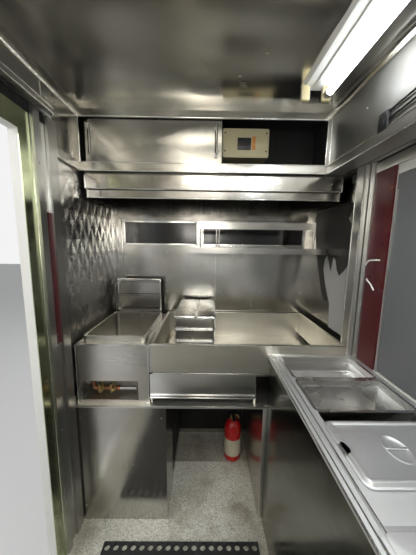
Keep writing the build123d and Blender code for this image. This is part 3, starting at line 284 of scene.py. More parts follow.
def spun(name: str, profile: list[Pair], foot: Point, axis: str = "Z",
         steps: int = 40) -> Piece:
    """A turned piece: a profile spun round an axis.

    Args:
        name: the piece's name.
        profile: (radius, height along the axis) points from one end to the other.
        foot: where height zero of the axis lies.
        axis: X, Y or Z.
        steps: faces round it.

    Returns:
        The new piece, settled.
    """
    piece = added(name, bpy.ops.mesh.primitive_plane_add, size=0.001)
    mesh = bmesh.new()
    corners = [mesh.verts.new((radius, 0, height)) for radius, height in profile]
    for one, two in zip(corners, corners[1:]):
        mesh.edges.new((one, two))
    mesh.to_mesh(piece.data)
    mesh.free()
    edit_mode(True)
    bpy.ops.mesh.select_all(action="SELECT")
    bpy.ops.mesh.spin(steps=steps, angle=math.tau, center=(0, 0, 0), axis=(0, 0, 1), dupli=False)
    bpy.ops.mesh.select_all(action="SELECT")
    bpy.ops.mesh.remove_doubles(threshold=TIP)
    bpy.ops.mesh.normals_make_consistent(inside=False)
    edit_mode(False)
    turn = {"X": TURN_X, "Y": (-math.pi / 2, 0, 0), "Z": (0, 0, 0)}[axis]
    piece.rotation_euler = turn
    piece.location = foot
    settle(piece)
    smooth(piece)
    return piece


def joined(name: str, pieces: list[Piece]) -> Piece:
    """Several meshes as one piece.

    Args:
        name: the joined piece's name.
        pieces: the meshes to join; the first one's materials come first.

    Returns:
        The joined piece.
    """
    clear_selection()
    for piece in pieces:
        piece.select_set(True)
    bpy.context.view_layer.objects.active = pieces[0]
    bpy.ops.object.join()
    pieces[0].name = name
    return pieces[0]


def repeated(piece: Piece, shifts: list[Point]) -> Piece:
    """Copies of a piece, each with its own mesh, joined with it.

    Args:
        piece: the first one, in its place.
        shifts: how far each copy stands from the first.

    Returns:
        The joined piece.
    """
    family = [piece]
    for shift in shifts:
        twin = piece.copy()
        twin.data = piece.data.copy()
        twin.data.transform(Matrix.Translation(shift))
        bpy.context.collection.objects.link(twin)
        family.append(twin)
    return joined(piece.name, family)


def bars(name: str, rows: list[tuple], segments: int = 2) -> Piece:
    """Several bars as one piece.

    Args:
        name: the piece's name.
        rows: the lowest corner, the highest corner and the edge of each.
        segments: faces across the rounding of each.

    Returns:
        The joined piece.
    """
    return joined(name, [bar(name, *row, segments) for row in rows])


def cut(piece: Piece, cutter: Piece) -> None:
    """Cut one closed mesh out of another.

    Args:
        piece: what stays.
        cutter: what is cut away; it is removed afterwards.
    """
    shape_with(piece, "BOOLEAN", operation="DIFFERENCE", object=cutter, solver="EXACT")
    bpy.data.objects.remove(cutter, do_unlink=True)


def disc(name: str, place: Point, radii: Pair, depth: float, sides: int = 40,
         turn: Point = (0, 0, 0)) -> Piece:
    """A round or oval plug about a point.

    Args:
        name: the piece's name.
        place: its middle.
        radii: its half width and half length before the turn.
        depth: its thickness.
        sides: faces round it.
        turn: its rotation in radians.

    Returns:
        The new piece, settled.
    """
    return added(name, bpy.ops.mesh.primitive_cylinder_add, (*radii, 1), vertices=sides, radius=1,
                 depth=depth, location=place, rotation=turn)


def rounded_sheet(name: str, place: Point, size: Pair, corner: float,
                  segments: int = 5) -> Piece:
    """A flat level sheet with round corners, left in edit mode with its face selected.

    Args:
        name: the piece's name.
        place: its middle.
        size: its width and length.
        corner: the radius of its corners.
        segments: edges round each corner.

    Returns:
        The new sheet, which faces up.
    """
    sheet = added(name, bpy.ops.mesh.primitive_plane_add, (*size, 1), size=1, location=place)
    edit_mode(True)
    bpy.ops.mesh.select_mode(type="VERT")
    bpy.ops.mesh.select_all(action="SELECT")
    bpy.ops.mesh.bevel(offset=corner, segments=segments, affect="VERTICES")
    bpy.ops.mesh.select_all(action="SELECT")
    return sheet


def press(place: Point, size: Pair, drop: float, draw: float = 0.0) -> None:
    """Push the selected face up or down in edit mode and draw its sides in.

    Args:
        place: the point that it is drawn in towards.
        size: its width and length.
        drop: how far it goes, upwards if positive.
        draw: how much narrower it ends.
    """
    bpy.ops.mesh.extrude_region_move(TRANSFORM_OT_translate={"value": (0, 0, drop)})
    if draw:
        bpy.ops.transform.resize(value=(1 - draw / size[0], 1 - draw / size[1], 1), center_override=place)


def sheet_metal(piece: Piece, thickness: float, edge: float, turn: float = 35.0) -> None:
    """Give a modelled surface its thickness and rounded folds.

    Args:
        piece: the surface, in edit or object mode.
        thickness: the metal's thickness, below the surface.
        edge: the width of the rounding.
        turn: the least fold in degrees that is rounded.
    """
    shape_with(piece, "SOLIDIFY", thickness=thickness, offset=-1)
    shape_with(piece, "BEVEL", width=edge, segments=2, limit_method="ANGLE", angle_limit=math.radians(turn))
    smooth(piece, 40)


def ring_frame(name: str, face: str, low: Pair, high: Pair, at: float,
               width: float, depth: float, corner: float = 0.02) -> Piece:
    """A rounded rectangular frame that stands upright, such as a gasket or a hatch trim.

    Args:
        name: the piece's name.
        face: X or Y, the axis that it is square to.
        low: its lowest corner, as the other level axis and the height.
        high: its highest corner.
        at: where its middle plane lies on the axis.
        width: the width of its bar.
        depth: the thickness of its bar along the axis.
        corner: the radius of its outer corners.

    Returns:
        The new frame, settled.
    """
    size = (high[0] - low[0], high[1] - low[1])
    frame = rounded_sheet(name, (0, 0, 0), size, corner)
    bpy.ops.mesh.inset(thickness=width)
    bpy.ops.mesh.delete(type="FACE")
    edit_mode(False)
    shape_with(frame, "SOLIDIFY", thickness=depth, offset=0)
    shape_with(frame, "BEVEL", width=min(width, depth) * 0.3, segments=2, limit_method="ANGLE")
    middle = ((low[0] + high[0]) / 2, (low[1] + high[1]) / 2)
    frame.rotation_euler = (math.pi / 2, 0, math.pi / 2) if face == "X" else TURN_Y
    frame.location = (at, *middle) if face == "X" else (middle[0], at, middle[1])
    settle(frame)
    smooth(frame)
    return frame


def plate(name: str, face: str, at: float, outline: list[Pair],
          thickness: float) -> Piece:
    """A thin flat plate of any outline that stands upright.

    Args:
        name: the piece's name.
        face: X or Y, the axis that it is square to.
        at: where its visible face lies on the axis.
        outline: (other level axis, height) points round it.
        thickness: its thickness along the axis, towards larger values.

    Returns:
        The new plate.
    """
    piece = added(name, bpy.ops.mesh.primitive_plane_add, size=0.001)
    mesh = bmesh.new()
    corners = []
    for level, height in outline:
        corners.append(mesh.verts.new((at, level, height) if face == "X" else (level, at, height)))
    mesh.faces.new(corners)
    mesh.to_mesh(piece.data)
    mesh.free()
    edit_mode(True)
    bpy.ops.mesh.select_all(action="SELECT")
    push = (thickness, 0, 0) if face == "X" else (0, thickness, 0)
    bpy.ops.mesh.extrude_region_move(TRANSFORM_OT_translate={"value": push})
    bpy.ops.mesh.select_all(action="SELECT")
    bpy.ops.mesh.normals_make_consistent(inside=False)
    edit_mode(False)
    return piece


def screw_heads(name: str, face: str, spots: list[Point], radius: float = 0.0045) -> Piece:
    """Low domed screw or rivet heads on one flat face.

    Args:
        name: the piece's name.
        face: the way they point, such as -Y or +X.
        spots: where each one sits.
        radius: half the width of a head.

    Returns:
        One piece with all the heads.
    """
    way = -1 if face[0] == "-" else 1
    rise = way * radius * 0.55
    profile = [(radius, 0), (radius * 0.85, rise * 0.6), (radius * 0.35, rise), (TIP, rise)]
    first = spun(name, profile, spots[0], face[1], 10)
    return repeated(first, [tuple(b - a for a, b in zip(spots[0], spot)) for spot in spots[1:]])


class Grain(Enum):
    """The direction in which a sheet was brushed."""

    ALONG_X = (0.02, 1.0, 1.0)
    ALONG_Y = (1.0, 0.02, 1.0)
    ALONG_Z = (1.0, 1.0, 0.02)
    NONE = (1.0, 1.0, 1.0)


class NodeSheet:
    """A short way to lay out one material's nodes."""

    def __init__(self, name: str) -> None:
        """Start an empty surface material with that name."""
        self.material = bpy.data.materials.new(name)
        self.material.use_nodes = True
        self.tree = self.material.node_tree
        self.shader = self.tree.nodes["Principled BSDF"]
        self.place = self.tree.nodes.new("ShaderNodeTexCoord").outputs["Object"]

    def add(self, kind: str, links: dict | None = None, **values) -> bpy.types.Node:
        """Add one node.

        Args:
            kind: the node's type, without its ShaderNode prefix.
            links: sockets to link, by input name or number.
            values: settings of the node, or values of inputs of that name.

        Returns:
            The new node.
        """
        node = self.tree.nodes.new("ShaderNode" + kind)
        for name, value in values.items():
            if hasattr(node, name):
                setattr(node, name, value)
            else:
                node.inputs[name.replace("_", " ")].default_value = value
        for name, socket in (links or {}).items():
            self.tree.links.new(socket, node.inputs[name])
        return node

    def stretched(self, scale: Point) -> Socket:
        """The object's coordinates, scaled by three factors."""
        return self.add("Mapping", {"Vector": self.place}, Scale=scale).outputs["Vector"]

    def speckle(self, scale: float, stretch: Point = (1, 1, 1), detail: float = 4.0,
                rough: float = 0.55) -> Socket:
        """Noise in 0..1 with that many features per metre."""
        where = self.stretched(stretch)
        return self.add("TexNoise", {"Vector": where}, Scale=scale, Detail=detail,
                        Roughness=rough).outputs["Fac"]

    def span(self, socket: Socket, low: float, high: float, start: float,
             end: float) -> Socket:
        """A value mapped from low..high to start..end and held there."""
        return self.add("MapRange", {"Value": socket}, From_Min=low, From_Max=high, To_Min=start,
                        To_Max=end).outputs["Result"]

    def blend(self, share: Socket, first: Colour, second: Colour) -> Socket:
        """Two colours blended by a value.

        Args:
            share: how much there is of the second colour.
            first: the colour at zero.
            second: the colour at one.

        Returns:
            The blended colour.
        """
        node = self.add("Mix", data_type="RGBA")
        node.inputs["A"].default_value = (*first, 1)
        node.inputs["B"].default_value = (*second, 1)
        self.tree.links.new(share, node.inputs["Factor"])
        return node.outputs["Result"]

    def set(self, **values) -> None:
        """Set or link inputs of the shader.

        Args:
            values: values or sockets by the input's name, with underscores for spaces.
        """
        for name, value in values.items():
            socket = self.shader.inputs[name.replace("_", " ")]
            if isinstance(value, Socket):
                self.tree.links.new(value, socket)
            elif isinstance(value, tuple) and len(value) == 3:
                socket.default_value = (*value, 1)
            else:
                socket.default_value = value

    def bumps(self, *layers: tuple[Socket, float]) -> None:
        """Stack height layers into the shader's normal.

        Args:
            layers: each layer's height and its depth in metres.
        """
        normal = None
        for height, depth in layers:
            node = self.add("Bump", {"Height": height}, Strength=1.0, Distance=depth)
            if normal is not None:
                self.tree.links.new(normal, node.inputs["Normal"])
            normal = node.outputs["Normal"]
        self.tree.links.new(normal, self.shader.inputs["Normal"])


@dataclass(frozen=True)
class Steel:
    """Stainless sheet: brushed, slightly wavy, smeared by wiping hands."""

    name: str
    colour: Colour = (0.50, 0.49, 0.465)
    grain: Grain = Grain.ALONG_X
    gloss: float = 0.20
    waves: float = 0.0022
    stains: float = 0.35
    # Above this height the sheet takes a paler colour, painted light on a top that faces the lamp, and more
    # roughness.
    lit_top_above: float | None = None
    brushed: float = 0.03
    wave_scale: float = 3.2
    grease_tint: Colour = (0.76, 0.71, 0.62)
    lit_top_colour: Colour = (0.76, 0.77, 0.78)
    lit_top_dulling: float = 0.40

    def material(self) -> Material:
        """Build the sheet's material.

        Returns:
            The new material.
        """
        sheet = NodeSheet(self.name)
        brush = sheet.speckle(150, self.grain.value, 2.0)
        wipe = sheet.speckle(5, (1, 1, 1.6), 3.0, 0.5)
        wave = sheet.speckle(self.wave_scale, (1, 1, 0.8), 1.0)
        grime = sheet.span(wipe, 0.42, 0.75, 0.0, self.stains)
        worn = tuple(part * tint for part, tint in zip(self.colour, self.grease_tint))
        smear = sheet.span(wipe, 0.3, 0.75, self.gloss - 0.03, self.gloss + 0.06)
        lines = sheet.span(brush, 0.3, 0.7, -self.brushed, self.brushed)
        dull = sheet.add("Math", {0: smear, 1: lines}, operation="ADD").outputs["Value"]
        colour = sheet.blend(grime, self.colour, worn)
        # Painted light: above the given height the colour turns pale, as if lit from above, and the roughness
        # rises.
        if self.lit_top_above:
            height = sheet.add("SeparateXYZ", {"Vector": sheet.place}).outputs["Z"]
            share = sheet.span(height, self.lit_top_above - 0.001, self.lit_top_above, 0.0, 1.0)
            pale = sheet.add("Mix", {"Factor": share, "A": colour}, data_type="RGBA")
            pale.inputs["B"].default_value = (*self.lit_top_colour, 1)
            lift = sheet.span(share, 0.0, 1.0, 0.0, self.lit_top_dulling)
            colour = pale.outputs["Result"]
            dull = sheet.add("Math", {0: dull, 1: lift}, operation="ADD").outputs["Value"]
        sheet.set(Base_Color=colour, Metallic=1.0, Roughness=dull)
        sheet.bumps((wave, self.waves * 3), (brush, 0.000004))
        return sheet.material


@dataclass(frozen=True)
class Enamel:
    """Painted or coated sheet with a little orange peel and rubbed dirt."""

    name: str
    colour: Colour
    gloss: float = 0.35
    dirt: float = 0.25

    def material(self) -> Material:
        """Build the paint's material.

        Returns:
            The new material.
        """
        sheet = NodeSheet(self.name)
        smear = sheet.speckle(5, (1, 1, 0.5), 6.0, 0.65)
        peel = sheet.speckle(420, (1, 1, 1), 2.0)
        share = sheet.span(smear, 0.48, 0.78, 0.0, self.dirt)
        dull = tuple(part * 0.62 for part in self.colour)
        rough = sheet.span(smear, 0.3, 0.75, self.gloss - 0.05, self.gloss + 0.18)
        sheet.set(Base_Color=sheet.blend(share, self.colour, dull), Roughness=rough)
        sheet.bumps((peel, 0.00008), (smear, 0.0006))
        return sheet.material


@dataclass(frozen=True)
class Rubber:
    """Black rubber, dusty on its high spots."""

    name: str
    colour: Colour = (0.018, 0.018, 0.019)

    def material(self) -> Material:
        """Build the rubber's material.

        Returns:
            The new material.
        """
        sheet = NodeSheet(self.name)
        dust = sheet.speckle(22, (1, 1, 1), 6.0, 0.7)
        pit = sheet.speckle(380, (1, 1, 1), 3.0)
        share = sheet.span(dust, 0.5, 0.75, 0.0, 0.5)
        sheet.set(Base_Color=sheet.blend(share, self.colour, (0.09, 0.085, 0.08)),
                  Roughness=sheet.span(dust, 0.3, 0.8, 0.5, 0.8))
        sheet.bumps((pit, 0.0003))
        return sheet.material


@dataclass(frozen=True)
class SpeckledFloor:
    """An off-white floor sheet with grey and brown flecks, worn and dirty at its right edge."""

    name: str
    ground: Colour = (0.78, 0.765, 0.680)
    flecks: Colour = (0.33, 0.32, 0.27)
    dirt: Colour = (0.20, 0.16, 0.10)

    def material(self) -> Material:
        """Build the floor's material.

        Returns:
            The new material.
        """
        sheet = NodeSheet(self.name)
        fleck = sheet.speckle(140, (1, 1, 1), 8.0, 0.8)
        patch = sheet.speckle(6, (1, 1, 1), 6.0, 0.7)
        grit = sheet.speckle(120, (1, 1, 1), 4.0, 0.7)
        base = sheet.blend(sheet.span(fleck, 0.46, 0.60, 0.0, 1.0), self.ground, self.flecks)
        dirty = sheet.add("Mix", {"A": base}, data_type="RGBA")
        dirty.inputs["B"].default_value = (*self.dirt, 1)
        across = sheet.add("SeparateXYZ", {"Vector": sheet.place}).outputs["X"]
        worn = sheet.add("Math", {0: sheet.span(patch, 0.46, 0.76, 0.0, 0.75),
                                  1: sheet.span(across, 0.06, 0.26, 0.0, 0.45)}, operation="ADD")
        sheet.tree.links.new(worn.outputs["Value"], dirty.inputs["Factor"])
        sheet.set(Base_Color=dirty.outputs["Result"], Roughness=sheet.span(grit, 0.3, 0.7, 0.42, 0.72))
        sheet.bumps((grit, 0.0008), (fleck, 0.0003))
        return sheet.material


@dataclass(frozen=True)
class Pane:
    """Clear window glass or a clear lens."""

    name: str
    tint: Colour = (0.92, 0.96, 0.96)

    def material(self) -> Material:
        """Build the glass's material.

        Returns:
            The new material.
        """
        sheet = NodeSheet(self.name)
        smear = sheet.speckle(9, (1, 1, 1), 4.0)
        sheet.set(Base_Color=self.tint, Roughness=sheet.span(smear, 0.4, 0.8, 0.02, 0.10),
                  Transmission_Weight=0.95, IOR=1.45)
        return sheet.material


@dataclass(frozen=True)
class Glow:
    """A lit lamp surface."""

    name: str
    colour: Colour
    power: float

    def material(self) -> Material:
        """Build the lamp's material.

        Returns:
            The new material.
        """
        sheet = NodeSheet(self.name)
        frost = sheet.speckle(60, (1, 1, 1), 2.0)
        sheet.set(Base_Color=(0.9, 0.9, 0.9), Roughness=sheet.span(frost, 0.3, 0.7, 0.3, 0.4),
                  Emission_Color=self.colour, Emission_Strength=self.power)
        return sheet.material


@dataclass(frozen=True)
class Copper:
    """Old gas fittings: browned copper with brighter rubbed spots."""

    name: str
    bright: Colour = (0.55, 0.25, 0.14)
    dark: Colour = (0.16, 0.07, 0.04)

    def material(self) -> Material:
        """Build the fittings' material.

        Returns:
            The new material.
        """
        sheet = NodeSheet(self.name)
        patina = sheet.speckle(60, (1, 1, 1), 5.0, 0.7)
        share = sheet.span(patina, 0.35, 0.65, 0.0, 1.0)
        sheet.set(Base_Color=sheet.blend(share, self.bright, self.dark), Metallic=0.8,
                  Roughness=sheet.span(patina, 0.3, 0.7, 0.35, 0.7))
        sheet.bumps((patina, 0.0006))
        return sheet.material


FINISHES = {
    "stainless": Steel("brushed_stainless"),
    "stainless_upright": Steel("upright_brushed_stainless", grain=Grain.ALONG_Z),
    "mirror_steel": Steel("wavy_ceiling_steel", (0.70, 0.68, 0.62),
                          Grain.ALONG_X, 0.22, 0.002, 0.2, brushed=0.008),
    "quilted_steel": Steel("quilted_steel", (0.74, 0.73, 0.71),
                           Grain.ALONG_Z, 0.27, 0.0006, 0.3, brushed=0.01),
    "pan_steel": Steel("pan_steel", (0.72, 0.72, 0.71), Grain.ALONG_X, 0.26, 0.0004, 0.15, brushed=0.0),
    # Painted shade and painted light: the dark colour stands for the side's dark reflections, the pale top
    # above 1.399 for its lit face.
    "counter_steel": Steel("counter_steel", (0.24, 0.25, 0.23), Grain.ALONG_Y, 0.18, 0.0022, 0.5, 1.399),
    "satin_pan": Steel("satin_lid_steel", (0.84, 0.85, 0.87), Grain.ALONG_X, 0.48, 0.0006, 0.12),
    "door_steel": Steel("cabinet_door_steel", (0.43, 0.425, 0.41),
                        Grain.ALONG_X, 0.19, 0.00002, 0.3, brushed=0.015),
    "soffit_steel": Steel("soffit_steel", (0.46, 0.46, 0.45), Grain.ALONG_Y, 0.42, 0.0016, 0.3),
    "hood_steel": Steel("hood_steel", (0.34, 0.33, 0.31), Grain.ALONG_Z, 0.19, 0.0009, 0.4, wave_scale=10.0),
    "drawer_steel": Steel("rubbed_drawer_steel", (0.66, 0.655, 0.635),
                          Grain.ALONG_X, 0.30, 0.0003, 0.3, brushed=0.0),
    "ledge_steel": Steel("greasy_ledge_steel", (0.80, 0.79, 0.75),
                         Grain.ALONG_X, 0.40, 0.0012, 0.5, brushed=0.02),
    "fryer_steel": Steel("fryer_steel", (0.62, 0.605, 0.565), Grain.ALONG_X, 0.29, 0.0010, 0.4, brushed=0.02),
    # Painted reflection: the green tint stands for outside light reflected on the jamb's reveal.
    "jamb": Steel("jamb_green_reflection", (0.50, 0.55, 0.36), Grain.ALONG_Z, 0.17, 0.0010, 0.3),
    # Painted reflection: a dark mirror colour for the hood's dark cavity reflected in the end wall.
    "dark_reflection": Steel("painted_dark_reflection", (0.055, 0.055, 0.056), Grain.ALONG_X, 0.14, 0.0012, 0.3),
    # Painted highlight: bright steel for the glints along folded hems and edges.
    "bead": Steel("painted_highlight_edges", (0.80, 0.80, 0.78), Grain.NONE, 0.16, 0.0004, 0.1),
    "griddle_steel": Steel("greasy_griddle_steel", (0.76, 0.74, 0.68),
                           Grain.ALONG_X, 0.36, 0.0012, 0.6, brushed=0.02),
    "aluminium": Steel("satin_aluminium", (0.56, 0.56, 0.545),
                       Grain.ALONG_Z, 0.32, 0.0002, 0.25, brushed=0.01),
    "zinc": Steel("zinc_plate", (0.48, 0.48, 0.47), Grain.NONE, 0.40, 0.0006, 0.3),
    "white": Enamel("white_enamel", (0.80, 0.80, 0.77), 0.42, 0.12),
    "locker": Enamel("grey_enamel", (0.30, 0.31, 0.32), 0.35, 0.2),
    "maroon": Enamel("maroon_enamel", (0.085, 0.010, 0.014), 0.26, 0.3),
    "hatch": Enamel("satin_grey_panel", (0.150, 0.155, 0.165), 0.36, 0.15),
    "beige": Enamel("beige_box", (0.52, 0.47, 0.30), 0.45, 0.5),
    "chassis": Enamel("black_chassis_paint", (0.022, 0.022, 0.024), 0.40, 0.3),
    "extinguisher": Enamel("extinguisher_red", (0.50, 0.012, 0.012), 0.22, 0.2),
    "label": Enamel("cream_label", (0.60, 0.55, 0.42), 0.55, 0.6),
    # Painted shade: near-black for unlit recesses, grooves and the gap over the door's track.
    "dark": Enamel("painted_shade_black", (0.008, 0.008, 0.009), 0.75, 0.1),
    # Painted shade: near-black for the deep kneehole.
    "kneehole_shade": Enamel("kneehole_shade_black", (0.018, 0.018, 0.019), 0.62, 0.5),
    "film": Enamel("sooty_film", (0.035, 0.033, 0.030), 0.45, 0.3),
    "bare_patch": Enamel("pale_bare_sheet", (0.46, 0.46, 0.44), 0.35, 0.15),
    "black": Enamel("black_plastic", (0.015, 0.015, 0.017), 0.35, 0.2),
    "orange": Enamel("orange_strip", (0.60, 0.25, 0.06), 0.50, 0.4),
    "lamp_white": Enamel("lamp_white", (0.86, 0.86, 0.82), 0.30, 0.1),
    "lamp_red": Enamel("red_lens", (0.50, 0.01, 0.01), 0.12, 0.05),
    "lampholder": Enamel("cream_lampholder", (0.72, 0.64, 0.38), 0.40, 0.3),
    "rim": Enamel("wheel_paint", (0.74, 0.74, 0.72), 0.28, 0.3),
    "floor": SpeckledFloor("speckled_floor"),
    "mat": Rubber("mat_rubber"),
    "gasket": Rubber("gasket_rubber", (0.014, 0.014, 0.015)),
    "tyre": Rubber("tyre_rubber", (0.020, 0.020, 0.021)),
    "glass": Pane("window_glass"),
    "lit_tube": Glow("lit_tube", (0.93, 0.97, 1.0), 12.0),
    "copper": Copper("browned_copper"),
    "brass": Copper("dull_brass", (0.62, 0.46, 0.20), (0.25, 0.17, 0.07)),
}

NODE_FINISHES = {
    "white": ("end_wall", "rear_wall", "left_wall", "right_wall", "roof", "door_leaf"),
    "floor": ("floor_deck",),
    "mirror_steel": ("ceiling_liner",),
    "aluminium": ("corner_trims", "posts", "door_track", "side_skirts"),
    "stainless": ("fryer_flue", "upper_cabinet", "back_shelf", "shelf_rack"),
    "fryer_steel": ("fryer_body",),
    "door_steel": ("cabinet_door_front", "cabinet_door_back"),
    "hood_steel": ("exhaust_hood",),
    "drawer_steel": ("drip_drawer",),
    "ledge_steel": ("ledge",),
    "stainless_upright": ("splash_panels", "cooking_base", "exhaust_stack"),
    "soffit_steel": ("soffit_right",),
    "griddle_steel": ("griddle",),
    "counter_steel": ("steam_counter",),
    "quilted_steel": ("quilted_liner",),
    "pan_steel": ("steam_pans", "pan_lid", "adapter_plate", "round_pot", "spare_pans"),
    "maroon": ("red_infills",),
    "jamb": ("door_frame",),
    "hatch": ("serving_hatch",),
    "glass": ("door_glass", "rear_window_glass"),
    "copper": ("valve_manifold",),
    "beige": ("control_box",),
    "lamp_white": ("light_fixture",),
    "lit_tube": ("light_tube",),
    "extinguisher": ("extinguisher",),
    "mat": ("rubber_mat",),
    "chassis": ("chassis_frame", "axle_beam", "leaf_springs"),
    "zinc": ("coupler", "jack_tube", "jack_leg", "rear_leg_left", "rear_leg_right"),
    "locker": ("gas_locker", "locker_lid"),
    "lamp_red": ("tail_lights",),
    "tyre": ("tyre_left", "tyre_right"),
    "rim": ("rim_left", "rim_right"),
}


class Wardrobe:
    """Keeps one material for each finish and puts it on nodes and pieces."""

    def __init__(self) -> None:
        """Start with nothing made."""
        self.made: dict[str, Material] = {}

    def get(self, finish: str) -> Material:
        """The material of one finish, made at its first use.

        Args:
            finish: a key of FINISHES.

        Returns:
            The material.
        """
        if finish not in self.made:
            self.made[finish] = FINISHES[finish].material()
        return self.made[finish]

    def dress(self, piece: Piece, finish: str) -> Piece:
        """Give a whole piece or CAD node one finish.

        Args:
            piece: the object to dress.
            finish: a key of FINISHES.

        Returns:
            The same object.
        """
        material = self.get(finish)
        if not piece.material_slots:
            piece.data.materials.append(material)
        for index in range(len(piece.material_slots)):
            piece.material_slots[index].material = material
        return piece


WARDROBE = Wardrobe()


def mount(piece: Piece, finish: str, body: str,
          replaces: tuple[str, ...] = ()) -> Piece:
    """Dress a finished piece and put it on its body.

    Args:
        piece: the finished piece.
        finish: a key of FINISHES.
        body: the body that it moves with.
        replaces: CAD nodes that it stands for.

    Returns:
        The same piece.
    """
    WARDROBE.dress(piece, finish)
    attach(piece, body)
    if replaces:
        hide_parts(*replaces)
    LOG.info("piece %s on %s", piece.name, body)
    return piece


@dataclass
class Studio:
    """The camera at the photograph's place, plain soft light and a pale floor."""

    eye: Point = (-0.0375, -0.890, 1.900)
    pitch: float = 7.94
    yaw: float = 0.45
    roll: float = -0.8
    focal_px: float = 230.0
    picture_height: float = 555.0
    floor_colour: Colour = (0.78, 0.78, 0.77)
    sky: Colour = (0.82, 0.83, 0.85)
    sky_strength: float = 0.45
    backdrop: Colour = (0.90, 0.90, 0.90)
    lamps: tuple[tuple, ...] = (
        ("tube_light", (0.391, -0.59, FLOOR + 1.898), (0.36, -0.59, FLOOR), (0.02, 1.20), 12.0,
         (0.97, 0.98, 0.96)),
        ("room_fill", (-0.15, -1.30, FLOOR + 1.75), (0.0, 0.3, FLOOR + 0.9), (0.7, 0.5), 1.5,
         (1.0, 0.94, 0.82)),
        ("ceiling_fill", (-0.10, -1.42, FLOOR + 1.55), (0.0, -0.25, FLOOR + 1.97), (0.6, 0.25), 3.4,
         (1.0, 0.95, 0.85)),
        ("left_key", (-4.2, -3.0, 4.2), (0, -0.2, 1.2), (3.0, 3.0), 120.0),
        ("right_key", (4.4, -2.2, 3.8), (0, -0.2, 1.2), (3.0, 3.0), 90.0),
        ("front_key", (0.8, 5.0, 3.6), (0, 0.3, 1.2), (3.0, 2.4), 80.0))

    def camera(self) -> None:
        """Set up the camera."""
        pitch, yaw, roll = (math.radians(angle) for angle in (self.pitch, self.yaw, self.roll))
        ahead = Vector((math.sin(yaw) * math.cos(pitch), math.cos(yaw) * math.cos(pitch), -math.sin(pitch)))
        right = Vector((math.cos(yaw), -math.sin(yaw), 0))
        down = ahead.cross(right)
        tilted_right = math.cos(roll) * right + math.sin(roll) * down
        tilted_down = -math.sin(roll) * right + math.cos(roll) * down
        turn = Matrix((tilted_right, -tilted_down, -ahead)).transposed().to_4x4()
        data = bpy.data.cameras.new("camera")
        data.sensor_width = 36.0
        data.lens = self.focal_px * data.sensor_width / self.picture_height
        data.clip_start = 0.02
        camera = bpy.data.objects.new("camera", data)
        camera.matrix_world = Matrix.Translation(self.eye) @ turn
        bpy.context.collection.objects.link(camera)
        bpy.context.scene.camera = camera

    def lamp(self, name: str, place: Point, aim: Point, size: Pair, power: float,
             colour: Colour = (1, 1, 1)) -> None:
        """Add one soft rectangular lamp.

        Args:
            name: the lamp's name.
            place: its middle.
            aim: the point that it faces.
            size: its width and height.
            power: its power in watts.
            colour: its colour.
        """
        data = bpy.data.lights.new(name, "AREA")
        data.shape = "RECTANGLE"
        data.size, data.size_y = size
        data.energy = power
        data.color = colour
        lamp = bpy.data.objects.new(name, data)
        lamp.location = place
        lamp.rotation_euler = (Vector(aim) - Vector(place)).to_track_quat("-Z", "Y").to_euler()
        lamp.visible_camera = False
        bpy.context.collection.objects.link(lamp)

    def world(self) -> None:
        """Set up the world: soft light, and a pale backdrop to camera, glossy and transmission rays."""
        world = bpy.data.worlds.new("studio")
        bpy.context.scene.world = world
        world.use_nodes = True
        tree = world.node_tree
        surface = tree.nodes["Background"]
        surface.inputs["Color"].default_value = (*self.sky, 1)
        surface.inputs["Strength"].default_value = self.sky_strength
        backdrop = tree.nodes.new("ShaderNodeBackground")
        backdrop.inputs["Color"].default_value = (*self.backdrop, 1)
        path = tree.nodes.new("ShaderNodeLightPath")
        mix = tree.nodes.new("ShaderNodeMixShader")
        seen = path.outputs["Is Camera Ray"]
        for ray in ("Is Glossy Ray", "Is Transmission Ray"):
            either = tree.nodes.new("ShaderNodeMath")
            either.operation = "MAXIMUM"
            tree.links.new(seen, either.inputs[0])
            tree.links.new(path.outputs[ray], either.inputs[1])
            seen = either.outputs["Value"]
        tree.links.new(seen, mix.inputs["Fac"])
        tree.links.new(surface.outputs["Background"], mix.inputs[1])
        tree.links.new(backdrop.outputs["Background"], mix.inputs[2])
        tree.links.new(mix.outputs["Shader"], tree.nodes["World Output"].inputs["Surface"])

    def ground(self) -> None:
        """Lay the pale floor that the cart stands on."""
        clear_selection()
        bpy.ops.mesh.primitive_plane_add(size=40, location=(0, 0, -0.0005))
        floor = bpy.context.object
        floor.name = "ground"
        sheet = NodeSheet("pale_ground")
        grain = sheet.speckle(12, (1, 1, 1), 3.0)
        shade = tuple(part * 0.97 for part in self.floor_colour)
        sheet.set(Base_Color=sheet.blend(grain, self.floor_colour, shade), Roughness=0.85)
        floor.data.materials.append(sheet.material)

    def build(self) -> None:
        """Set up everything and the plain view transform."""
        self.camera()
        for row in self.lamps:
            self.lamp(*row)
        self.world()
        self.ground()
        bpy.context.scene.view_settings.view_transform = "Standard"


def dress_nodes(frame: dict) -> None:
    """Give every CAD node its finish.
    """
    for finish, nodes in NODE_FINISHES.items():
        for node in nodes:
            WARDROBE.dress(frame["nodes"][node], finish)
    LOG.info("dressed %d nodes", len(frame["nodes"]))


